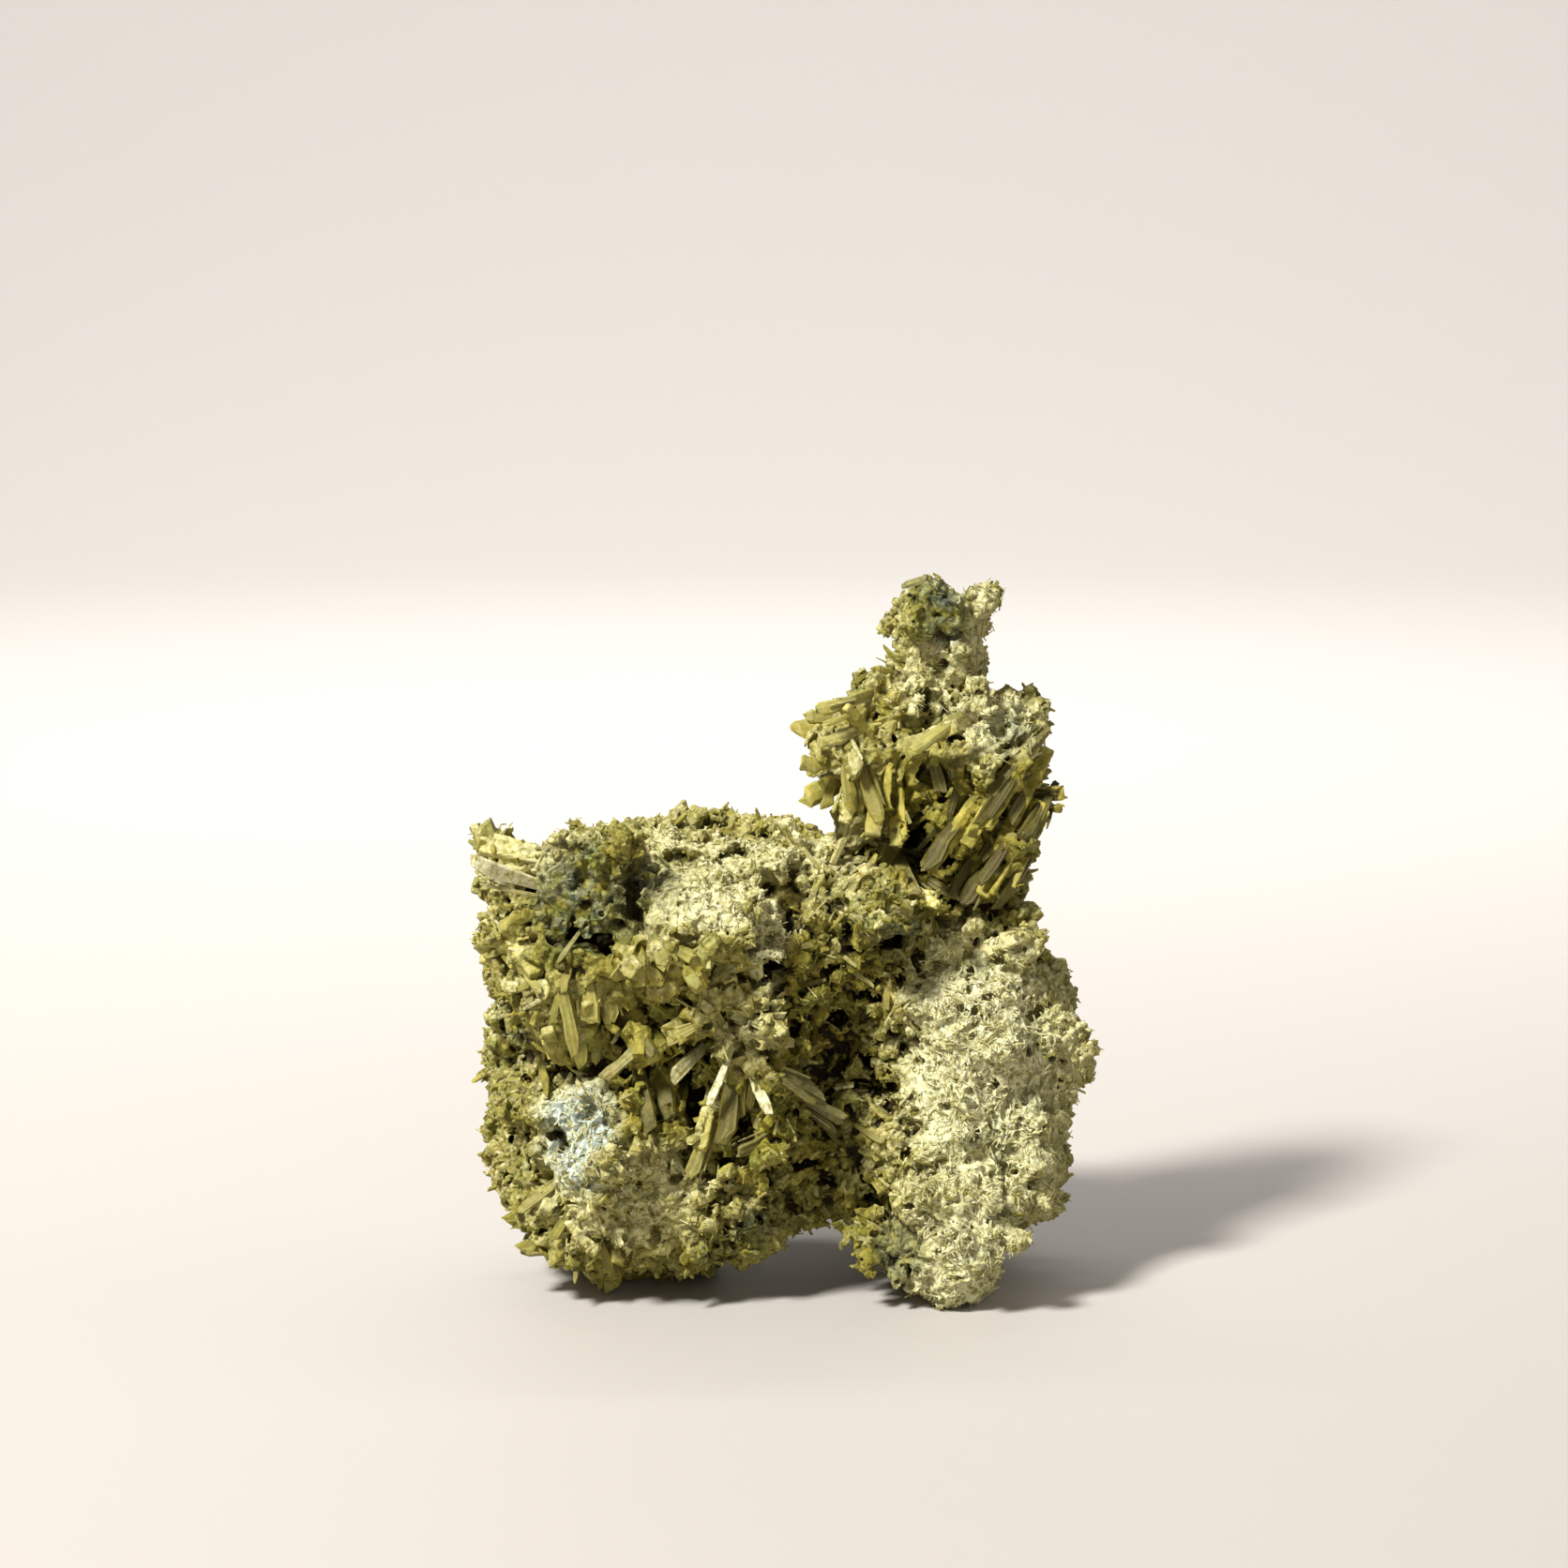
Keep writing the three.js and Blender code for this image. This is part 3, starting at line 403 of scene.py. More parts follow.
class Block:
    """A block of cells round the part, which holds one number for each cell."""

    def __init__(self, low, high):
        self.start = np.floor((low - MARGIN) / VOXEL).astype(int)
        self.shape = tuple(np.ceil((high + MARGIN) / VOXEL).astype(int) - self.start)
        self.low = self.start * VOXEL

    def axis(self, k):
        return (self.start[k] + np.arange(self.shape[k])) * VOXEL

    def at(self, field, points):
        """The field's value at each point, between cells."""
        place = (points - self.low) / VOXEL
        place = np.clip(place, 0, np.array(self.shape) - 1.001)
        cell = place.astype(int)
        part = place - cell
        total = np.zeros(len(points))
        for corner in np.ndindex(2, 2, 2):
            share = np.prod(np.where(corner, part, 1 - part), axis=1)
            total += share * field[tuple((cell + corner).T)]
        return total

    def slope(self, field, points, step=0.6):
        """The way out of the surface at each point."""
        parts = []
        for k in range(3):
            move = np.zeros(3)
            move[k] = step
            parts.append(self.at(field, points + move) - self.at(field, points - move))
        return unit(np.stack(parts, 1))

    def waves(self, lump, seed):
        """Smooth random swells, about -1 to 1, with lumps of that size."""
        draw = np.random.default_rng(seed)
        count = [int(n * VOXEL / lump) + 5 for n in self.shape]
        field = draw.uniform(-1, 1, count).astype(np.float32)
        for k, cells in enumerate(self.shape):
            at = np.arange(cells) * VOXEL / lump + draw.random() + 1
            first = at.astype(int)
            t = (at - first).astype(np.float32)
            weights = ((1 - t) ** 3, 3 * t**3 - 6 * t**2 + 4, -3 * t**3 + 3 * t**2 + 3 * t + 1, t**3)
            side = [1, 1, 1]
            side[k] = cells
            field = sum(
                np.take(field, first - 1 + n, axis=k) * (weight / 6).reshape(side)
                for n, weight in enumerate(weights)
            )
        return field * 2.6

    def blurred(self, field, reach):
        """The field, with each value the mean of the cells within reach along each axis."""
        cells = max(1, round(reach / VOXEL))
        for k in range(3):
            before = np.repeat(np.take(field, [0], k), cells + 1, k)
            after = np.repeat(np.take(field, [-1], k), cells, k)
            padded = np.concatenate([before, field, after], k)
            total = np.cumsum(padded, axis=k, dtype=np.float64)
            size = field.shape[k]
            upper = np.take(total, range(2 * cells + 1, 2 * cells + 1 + size), k)
            lower = np.take(total, range(size), k)
            field = ((upper - lower) / (2 * cells + 1)).astype(np.float32)
        return field

    def near(self, place, reach):
        """The cells near a place: their slices, and how far each is from it along X, Y and Z."""
        low = np.maximum(((place - reach - self.low) / VOXEL).astype(int), 0)
        high = np.minimum(((place + reach - self.low) / VOXEL).astype(int) + 2, self.shape)
        high = np.maximum(high, low)
        part = tuple(slice(a, b) for a, b in zip(low, high))
        steps = np.ogrid[part]
        return part, [s * VOXEL + self.low[k] - place[k] for k, s in enumerate(steps)]

    def grow(self, field, layers, places, turns, sizes, values):
        """Adds box-shaped crystals, each with its own turn and half sizes, and writes their values."""
        for place, turn, size, own in zip(places, turns, sizes, values):
            part, (x, y, z) = self.near(place, np.linalg.norm(size) + VOXEL)
            away = -BAND
            for axis, half in zip(turn, size):
                away = np.maximum(away, np.abs(x * axis[0] + y * axis[1] + z * axis[2]) - half)
            nearer = away < field[part]
            for layer, value in zip(layers, own):
                layer[part][nearer] = value
            field[part] = np.minimum(field[part], away)

    def round_form(self, place, half, reach):
        """The cells near a round form, and how far each is outside it."""
        half = np.asarray(half, float)
        part, (x, y, z) = self.near(np.asarray(place, float), half.max() * reach + VOXEL)
        away = np.sqrt((x / half[0]) ** 2 + (y / half[1]) ** 2 + (z / half[2]) ** 2)
        return part, (away - 1) * half.min()

    def raise_lump(self, field, place, half, ragged):
        """Adds a round lump with a ragged surface to the field."""
        part, away = self.round_form(place, half, 1.4)
        field[part] = np.minimum(field[part], away + ragged[part])

    def dig(self, field, place, half, ragged):
        """Takes a round hole with a ragged wall out of the field."""
        part, away = self.round_form(place, half, 1.3)
        field[part] = np.maximum(field[part], -(away + ragged[part]))


def level_set(points, triangles, quads=None):
    """A closed mesh as distances from its skin."""
    return openvdb.FloatGrid.createLevelSetFromPolygons(
        points.astype(np.float32),
        triangles=triangles.astype(np.uint32),
        quads=None if quads is None else quads.astype(np.uint32),
        transform=openvdb.createLinearTransform(voxelSize=VOXEL),
        halfWidth=BAND / VOXEL,
    )


def read_mesh(mesh):
    """A mesh's points in mm and its triangles."""
    mesh.calc_loop_triangles()
    points = np.zeros(len(mesh.vertices) * 3, np.float32)
    mesh.vertices.foreach_get("co", points)
    faces = np.zeros(len(mesh.loop_triangles) * 3, np.int32)
    mesh.loop_triangles.foreach_get("vertices", faces)
    return points.reshape(-1, 3) / MM + CENTRE, faces.reshape(-1, 3)


def solid_without_blades(node):
    """The part's solid as distances, with everything thinner than the rounding worn off."""
    points, faces = read_mesh(node.data)
    inner, triangles, quads = level_set(points, faces).convertToPolygons(isovalue=-BLADE_ROUNDING)
    worn = level_set(inner, triangles, quads)
    block = Block(points.min(0), points.max(0))
    field = np.full(block.shape, BAND, np.float32)
    worn.copyToArray(field, ijk=tuple(int(v) for v in block.start))
    return block, field - BLADE_ROUNDING


def surface_of(block, field, adaptivity):
    """The skin of the field as points and triangles that face out."""
    grid = openvdb.FloatGrid(BAND)
    grid.copyFromArray(field.astype(np.float32), ijk=tuple(int(v) for v in block.start))
    grid.transform = openvdb.createLinearTransform(voxelSize=VOXEL)
    grid.gridClass = openvdb.GridClass.LEVEL_SET
    points, triangles, quads = grid.convertToPolygons(isovalue=0.0, adaptivity=adaptivity)
    split = np.concatenate([quads[:, [0, 1, 2]], quads[:, [0, 2, 3]]])
    faces = np.concatenate([triangles, split]).astype(np.int64)
    a, b, c = (points[faces[:, k]].astype(float) for k in range(3))
    volume = np.einsum("ij,ij->i", a, np.cross(b, c)).sum()
    return points.astype(float), faces if volume > 0 else faces[:, ::-1]


def largest_body(points, faces):
    """The points and faces of the largest connected body."""
    label = np.arange(len(points))
    edges = np.concatenate([faces[:, [0, 1]], faces[:, [1, 2]]])
    while True:
        lowest = np.minimum(label[edges[:, 0]], label[edges[:, 1]])
        before = label.copy()
        np.minimum.at(label, edges[:, 0], lowest)
        np.minimum.at(label, edges[:, 1], lowest)
        label = label[label]
        if (label == before).all():
            break
    main = np.bincount(label[faces[:, 0]]).argmax()
    faces = faces[label[faces[:, 0]] == main]
    kept, faces = np.unique(faces, return_inverse=True)
    return points[kept], faces.reshape(-1, 3)


def scattered(points, faces, count, draw):
    """Random places spread evenly over the skin."""
    a, b, c = (points[faces[:, k]] for k in range(3))
    area = np.linalg.norm(np.cross(b - a, c - a), axis=1)
    chosen = draw.choice(len(faces), count, p=area / area.sum())
    u, v = draw.random((2, count, 1))
    over = u + v > 1
    u, v = np.where(over, 1 - u, u), np.where(over, 1 - v, v)
    return a[chosen] + (b - a)[chosen] * u + (c - a)[chosen] * v


def turned(directions, draw):
    """Three square axes for each direction, turned at random about it."""
    across, out = frames(directions, unit(draw.normal(size=directions.shape)))
    return np.stack([directions, across, out], 1)


def zone(block, places):
    """How much of each cell lies in the places, 0 to 1."""
    step = 4
    cells = np.stack(np.meshgrid(*[block.axis(k)[::step] for k in range(3)], indexing="ij"), -1)
    field = nearness(cells.reshape(-1, 3), places).reshape(cells.shape[:3]).astype(np.float32)
    for k in range(3):
        field = np.repeat(field, step, k)
    return block.blurred(field[tuple(slice(n) for n in block.shape)], 1.0)


def behind(across, up, y):
    """The points at depth y behind a place of the front view."""
    near = 1 + y / VIEW_REACH
    height = (up - VIEW_HEIGHT) * near + VIEW_HEIGHT - VIEW_FALL * y
    return np.stack([across * near, y, height], -1)


def seen(block, field, across, up):
    """The first point of the surface behind a place of the front view."""
    points = behind(across, up, block.axis(1))
    inside = (points > block.low) & (points < block.low + VOXEL * (np.array(block.shape) - 1))
    hit = inside.all(1) & (block.at(field, points) < 0)
    return points[hit.argmax()] if hit.any() else None


def half_sizes(long, slim):
    """Half sizes of crystals from their half lengths and how slim they are in the two ways across."""
    return long[:, None] * np.column_stack([np.ones(len(long)), slim])


def on_the_back(block, spots):
    """How far each place is on the back, and the swells that say what grows there."""
    return np.clip(spots[:, 1] / 6 - 0.3, 0, 1), block.at(block.waves(14, 21), spots)


def shaped(block, field, draw):
    """The worn core with its swells, the forms of its front and blocky clusters all over."""
    field = field - block.waves(8, 1) - 0.5 * block.waves(3.4, 2)
    ragged = 0.5 * block.waves(2.4, 12)
    for across, up, wide, high, out in BUMPS:
        place = seen(block, field, across, up)
        if place is not None:
            block.raise_lump(field, place, np.array((wide, 1.3 * out, high)) * 1.15, ragged)
    for place, half in FILLS:
        block.raise_lump(field, place, half, ragged)
    spots = scattered(*surface_of(block, field, 0.5), CLUSTERS, draw)
    calm = np.clip(nearness(spots, PALE) + nearness(spots, GREEN) + nearness(spots, SLENDER), 0, 1)
    spots = spots[draw.random(len(spots)) > 0.85 * calm]
    outward = block.slope(field, spots)
    way, _ = spray_directions(spots, outward, draw, count=90, depth=9)
    long = draw.uniform(1.0, 2.4, len(spots))
    sizes = half_sizes(long, draw.uniform(0.4, 0.75, (len(spots), 2)))
    sink = (draw.uniform(0.35, 0.95, len(spots)) * long)[:, None]
    field = field + 0.5
    block.grow(field, [], spots - outward * sink, turned(way, draw), sizes, [()] * len(spots))
    return field


def roughened(block, field):
    """The crust as distances, with each cell's tint, dust and how much of a blade it is."""
    draw = np.random.default_rng(11)
    field = shaped(block, field, draw)
    skin, faces = surface_of(block, field, 0.5)
    porous, rocky = zone(block, PALE), zone(block, GREEN)
    field = field + 0.45 - 0.65 * porous
    net = np.minimum(np.abs(block.waves(1.1, 3)), np.abs(block.waves(1.1, 6)))
    field = field + porous * (np.clip(net * 4.2, 0, 1.0) - 0.35)
    field = field - 0.4 * (1 - porous) * (np.abs(block.waves(1.8, 4)) - 0.3)
    field = field + rocky * (0.5 * np.abs(block.waves(1.5, 13)) + 0.4 * np.abs(block.waves(0.8, 14)) - 0.35)

    # Small blocky crystals all over.
    spots = scattered(skin, faces, GRAINS, draw)
    spots = spots[draw.random(len(spots)) > 0.65 * nearness(spots, GREEN) + 0.3 * nearness(spots, PALE)]
    pale, bladed = nearness(spots, PALE), nearness(spots, BLADED)
    outward = block.slope(field, spots)
    way, _ = spray_directions(spots, outward, draw, count=900, depth=4.5)
    long = draw.uniform(0.4, 1.05, len(spots)) * (1 + bladed * draw.random(len(spots)))
    long = long * (1 - 0.35 * pale)
    sizes = np.maximum(half_sizes(long, draw.uniform(0.3, 0.75, (len(spots), 2))), 0.22)
    sink = draw.uniform(0.05, 0.8, (len(spots), 1)) + 0.4 * pale[:, None]
    layers = [np.full(block.shape, level, np.float32) for level in (0.5, 0.0, 0.0)]
    values = np.stack([draw.random(len(spots)), draw.normal(0, 0.15, len(spots)), np.zeros(len(spots))], 1)
    block.grow(field, layers, spots - outward * sink, turned(way, draw), sizes, values)

    # The gaps of the front, what is worn off, and caves at random.
    ragged = 0.8 * block.waves(1.8, 5) + 0.6 * block.waves(0.9, 8)
    for across, up, wide, high, deep in GAPS:
        place = seen(block, field, across, up)
        if place is not None:
            block.dig(field, place + (0, 0.4 * deep, 0), (1.3 * wide, 1.2 * deep, 1.3 * high), 0.7 * ragged)
    for place, half in TRIMS:
        block.dig(field, place, half, 0.5 * ragged)
    caves = scattered(skin, faces, CAVES, draw)
    caves = caves[nearness(caves, PALE) + nearness(caves, SLENDER) < 0.3]
    sizes = draw.uniform(0.4, 1.9, (len(caves), 3))
    for place, size in zip(caves, sizes):
        block.dig(field, place, size * (1 + 0.4 * (place[1] > 0)), ragged)

    # The main blades and the clear facets.
    plates = [blade for blade in front_laths(block, field, draw) if blade[2] >= BROAD]
    block.grow(field, layers, *blade_blocks(plates, draw))
    spots = scattered(skin, faces, FACETS, draw)
    back, patches = on_the_back(block, spots)
    faceted = nearness(spots, FACETED) + 0.6 * (back * np.clip(2 * patches, 0, 1))
    spots = spots[draw.random(len(spots)) < 0.6 * faceted]
    outward = block.slope(field, spots)
    way, _ = spray_directions(spots, outward, draw, count=250, depth=5)
    long = draw.uniform(0.9, 2.3, len(spots))
    slim = np.stack([draw.uniform(0.4, 0.8, len(spots)), draw.uniform(0.2, 0.5, len(spots))], 1)
    sizes = half_sizes(long, slim)
    sink = (draw.uniform(0.1, 0.8, len(spots)) * long)[:, None]
    tint, dust = draw.random(len(spots)), draw.normal(-0.1, 0.15, len(spots))
    values = np.stack([tint, dust, np.full(len(spots), 0.7)], 1)
    block.grow(field, layers, spots - outward * sink, turned(way, draw), sizes, values)

    # A fine grain, small pores and the flat underside.
    field = field - 0.1 * block.waves(0.8, 7) - 0.08 * block.waves(1.3, 9)
    holes = scattered(skin, faces, HOLES, draw)
    holes = holes[draw.random(len(holes)) < 0.5 - 0.3 * nearness(holes, GREEN)]
    outward = block.slope(field, holes)
    deep = draw.uniform(0.0, 0.8, (len(holes), 1))
    sizes = draw.uniform(0.25, 0.6, (len(holes), 3)) + 0.3 * draw.random((len(holes), 1)) ** 8
    ragged = ragged * 0.3
    for hole, size, out in zip(holes - outward * deep, sizes, outward):
        block.dig(field, hole, size * (0.8 + 0.9 * np.abs(out)), ragged)
    floor = -block.axis(2)
    return np.maximum(field, floor[None, None, :]), layers


def blade_blocks(plates, draw):
    """The main blades as blocks: middles, turns, half sizes and values."""
    named = [(*blade[:4], FRONT, blade[4]) for blade in [*BLADES.values(), *CORES.values()]]
    sprays = [(*blade, draw.random() * 0.4) for blade in fan_blades()]
    broad = [(*ends, 1.3 * wide, 2 * thick, face, dust) for *ends, wide, thick, face, dust, _ in plates]
    middles, turns, sizes, values = [], [], [], []
    for start, end, wide, thick, look, dust in named + sprays + broad:
        start, end, way, full = span(start, end)
        across, out = frames(way, unit(unit(look) + draw.normal(0, 0.25, 3)))
        tint = draw.random()
        middles.append((start + end) / 2 - way * 0.5)
        turns.append((way, across, out))
        sizes.append((full / 2 + 0.3, wide * 0.36, thick * 0.32))
        values.append((tint, dust - 0.3, 1))
        for _ in range(2):
            share = draw.uniform(-0.5, 0.5)
            lean = unit(way + across * 0.2 * share + out * draw.normal(0, 0.06))
            side, face = frames(lean, out)
            part = draw.uniform(0.3, 0.48)
            middle = start + across * share * wide + lean * full * part
            middles.append(middle + out * draw.normal(0, 0.2 * thick))
            turns.append((lean, side, face))
            sizes.append((full * part, wide * draw.uniform(0.12, 0.22), thick * draw.uniform(0.2, 0.35)))
            values.append((draw.random(), dust - 0.3, 1))
    return np.array(middles), np.array(turns), np.array(sizes), np.array(values)


def prism_faces(sides, rows):
    """Triangles of a closed prism with that many sides and rows of points."""
    faces = []
    for row in range(rows - 1):
        for side in range(sides):
            a, b = row * sides + side, row * sides + (side + 1) % sides
            faces += [(a, b, b + sides), (a, b + sides, a + sides)]
    last = (rows - 1) * sides
    faces += [(0, side + 1, side) for side in range(1, sides - 1)]
    faces += [(last, last + side, last + side + 1) for side in range(1, sides - 1)]
    return np.array(faces)


def prisms(foot, along, face, length, width, thickness, section, rows, slant, roof, draw, wobble=0.0):
    """Many prisms of one section, each a little crooked. Returns their points, crystal by crystal."""
    across, out = frames(along, face)
    section = np.asarray(section, float)
    count, sides = len(foot), len(section)
    shape = np.zeros((count, len(rows), sides, 3))
    for r, (share, scale) in enumerate(rows):
        swell = 1 + wobble * draw.normal(0, 1, (count, 1))
        aside = wobble * share * draw.normal(0, 1, (count, 1))
        bend = wobble * share * share * draw.normal(0, 1.5, (count, 1))
        x = section[:, 0][None] * scale * swell
        z = section[:, 1][None] * scale
        rise = np.full((count, sides), share) * length[:, None]
        if r == len(rows) - 1:
            rise = rise - width[:, None] * (slant[:, None] * (x + 0.5) + roof[:, None] * np.abs(z + 0.1))
            rise = rise + width[:, None] * draw.normal(0, 1.5 * wobble, (count, sides))
        shape[:, r, :, 0] = (x + aside) * width[:, None]
        shape[:, r, :, 1] = (z + bend) * thickness[:, None]
        shape[:, r, :, 2] = rise
    shape = shape.reshape(count, -1, 3)
    return (
        foot[:, None]
        + shape[..., :1] * across[:, None]
        + shape[..., 1:2] * out[:, None]
        + shape[..., 2:] * along[:, None]
    )


def placed(name, data):
    """A new object in the scene."""
    item = bpy.data.objects.new(name, data)
    bpy.context.scene.collection.objects.link(item)
    return item


def new_object(name, points, faces, values, material):
    """A mesh object with flat faces from points in mm, with its values for each point."""
    mesh = bpy.data.meshes.new(name)
    mesh.from_pydata((points - CENTRE) * MM, [], faces)
    for key, value in values.items():
        layer = mesh.attributes.new(key, "FLOAT", "POINT")
        layer.data.foreach_set("value", np.ascontiguousarray(value, np.float32))
    if material:
        mesh.materials.append(material)
    mesh.update()
    return placed(name, mesh)


def dress(piece):
    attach(piece, "root")
    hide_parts(NODE)


# Outlines across a crystal, and its rows from foot to tip: share of its length, scale.
HEXAGON = [(-0.5, 0), (-0.3, -0.5), (0.3, -0.5), (0.5, 0), (0.3, 0.5), (-0.3, 0.5)]
SLAT = [(-0.5, -0.3), (0.42, -0.5), (0.5, 0.3), (-0.42, 0.5)]
STRIATED = [
    (-0.5, 0), (-0.4, -0.44), (-0.18, -0.5), (-0.06, -0.4), (0.18, -0.5), (0.42, -0.4),
    (0.5, 0), (0.38, 0.46), (0.12, 0.4), (-0.08, 0.5), (-0.28, 0.42), (-0.4, 0.5),
]
SPLINTER = [(-0.5, -0.4), (0.5, -0.4), (0, 0.5)]
CHISEL = [(0, 0.6), (0.3, 0.8), (0.6, 0.97), (0.85, 1.0), (1.0, 0.66)]
SLIM = [(0, 0.85), (0.5, 1.0), (1.0, 0.5)]
PADDLE = [(0, 0.6), (0.35, 0.85), (0.65, 1.0), (0.84, 0.9), (0.95, 0.62), (1.0, 0.25)]
ROUND = [
    (-0.5, 0), (-0.36, -0.38), (0, -0.5), (0.36, -0.38), (0.5, 0), (0.36, 0.38), (0, 0.5), (-0.36, 0.38),
]


def crystals(name, groups, material):
    """One object from groups of prisms: (points, faces of one, values of each crystal)."""
    all_points, all_faces, values = [], [], {}
    start = 0
    for points, faces, each in groups:
        count, size = points.shape[:2]
        all_points.append(points.reshape(-1, 3))
        shifts = start + np.arange(count) * size
        all_faces.append((faces[None] + shifts[:, None, None]).reshape(-1, 3))
        for key, value in each.items():
            value = np.asarray(value)
            spread = value if value.ndim == 2 else np.repeat(value[:, None], size, 1)
            values.setdefault(key, []).append(spread.reshape(-1))
        start += count * size
    values = {key: np.concatenate(parts) for key, parts in values.items()}
    points = np.concatenate(all_points)
    points[:, 2] = np.maximum(points[:, 2], 0)
    return new_object(name, points, np.concatenate(all_faces), values, material)


def fan_blades():
    """Foot, tip, width and face of each blade of the sprays, as the solid has them."""
    rows = []
    for root, axis, spread, count, length in FANS.values():
        axis = unit(axis)
        first, second = square_to(axis)
        for i in range(count):
            lean = math.radians(spread) * math.sqrt((i + 0.5) / count)
            turn = i * GOLDEN_TURN
            side = first * math.cos(turn) + second * math.sin(turn)
            along = axis * math.cos(lean) + side * math.sin(lean)
            step = (i * GOLDEN_SHARE) % 1
            reach = length * (0.78 + 0.34 * step)
            one, two = square_to(along)
            face = one * math.cos(2 * turn) + two * math.sin(2 * turn)
            foot = np.array(root) + along * length * 0.3
            tip = np.array(root) + along * reach
            rows.append((foot, tip, FAN_WIDTH * (0.85 + 0.4 * step), FAN_THICKNESS, face))
    return rows


def front_laths(block, field, draw):
    """Foot, tip, width, thickness, face and dust of the crystals of the front."""
    rows = []
    for kind, table in (("blade", LATHS), ("lobe", LOBES)):
        paler = 0.05 if kind == "lobe" else 0
        for x0, z0, x1, z1, wide, lift, dust in table:
            foot, under = seen(block, field, x0, z0), seen(block, field, x1, z1)
            if foot is None:
                continue
            deep = foot[1] - 0.6 if under is None else min(under[1], foot[1] + 2)
            tip = behind(x1, z1, deep - lift)
            face = FRONT + draw.normal(0, 0.25, 3)
            thick = min(max(0.42 * wide, 0.3), 1.4)
            rows.append((foot + (0, 0.8, 0), tip, wide, thick, face, dust + paler, kind))
    return rows


def laths(front, draw):
    """Each single blade as a crisp crystal, with slivers along it."""
    named = [(*blade[:4], FRONT, blade[4], "blade") for blade in BLADES.values()]
    sprays = [
        (foot, tip, 0.7 * wide, thick, face, None, "blade")
        for foot, tip, wide, thick, face in fan_blades()
        if foot[1] > -2
    ]
    rows = {"blade": [], "lobe": [], "sliver": []}

    def add(kind, foot, way, face, length, width, thick, own):
        rows[kind].append((foot, way, face, length, width, thick, draw.random(), np.clip(own, 0, 1)))

    for start, end, wide, thick, look, dust, kind in named + sprays + front:
        start, end, way, full = span(start, end)
        across, out = frames(way, unit(look))
        dust = draw.random() * 0.5 if dust is None else dust
        add(kind, start, way, out, full, wide, thick, dust * (0.4 + 0.6 * dust))
        for _ in range(draw.integers(0, 3) if wide > 1.1 else 0):
            share = draw.uniform(-0.7, 0.7)
            lean = unit(way + across * (0.3 * share + draw.normal(0, 0.06)) + out * draw.normal(0, 0.08))
            foot = start + across * share * wide + out * draw.normal(0, 0.4 * thick)
            length, width = full * draw.uniform(0.4, 0.95), wide * draw.uniform(0.14, 0.4)
            face = unit(out + across * draw.normal(0, 0.5))
            thin = width * draw.uniform(0.4, 0.8)
            add("sliver", foot, lean, face, length, width, thin, dust + draw.normal(0, 0.2))
    shapes = {"blade": (STRIATED, CHISEL), "lobe": (ROUND, PADDLE), "sliver": (HEXAGON, SLIM)}
    groups = []
    for kind, items in rows.items():
        foot, way, face, length, width, thin, tint, dust = (np.array(part) for part in zip(*items))
        section, levels = shapes[kind]
        count = len(foot)
        steep = 0.1 if kind == "lobe" else 0.8
        shade = nearness(foot + way * length[:, None] / 2, SHADE_PLACES)
        points = prisms(
            foot - way, way, face, length + 1, width, thin, section, levels,
            draw.uniform(-steep, steep, count), draw.uniform(0, 0.6 * steep, count), draw,
            0.12 if kind == "lobe" else 0.08,
        )
        height = np.repeat([level[0] for level in levels], len(section))[None] * np.ones((count, 1))
        # Painted shade: darker towards each crystal's foot, less so on dusty ones, and darker in the shaded
        # places.
        root = np.clip(0.5 - 1.3 * height, 0, 1) * (1 - 0.8 * dust[:, None])
        dim = np.clip(0.8 * shade * (1 - dust) ** 2, 0, 0.7)[:, None]
        values = {
            "tint": 0.7 + 0.3 * tint if kind == "lobe" else tint,
            "dust": dust,
            "along": height,
            "green": np.zeros(count),
            "painted_shade": root + dim,
        }
        groups.append((points, prism_faces(len(section), len(levels)), values))
    return groups


def spray_directions(points, outward, draw, count, depth):
    """Ways for small crystals to grow: away from the nearest of many hidden roots."""
    chosen = draw.choice(len(points), count, replace=False)
    roots = points[chosen] - outward[chosen] * depth + draw.normal(0, 0.25 * depth, (count, 3))
    near = np.full(len(points), np.inf)
    owner = np.zeros(len(points), int)
    for i, root in enumerate(roots):
        away = ((points - root) ** 2).sum(1)
        closer = away < near
        near[closer] = away[closer]
        owner[closer] = i
    way = unit(points - roots[owner]) + 0.25 * unit(draw.normal(size=(count, 3)))[owner]
    for centre, reach, lean, pull in LEANS:
        weight = np.clip(1.5 - np.linalg.norm(points - centre, axis=1) / reach, 0, 1) * pull
        way = way + weight[:, None] * unit(lean)
    return unit(way + 0.22 * draw.normal(size=points.shape)), owner


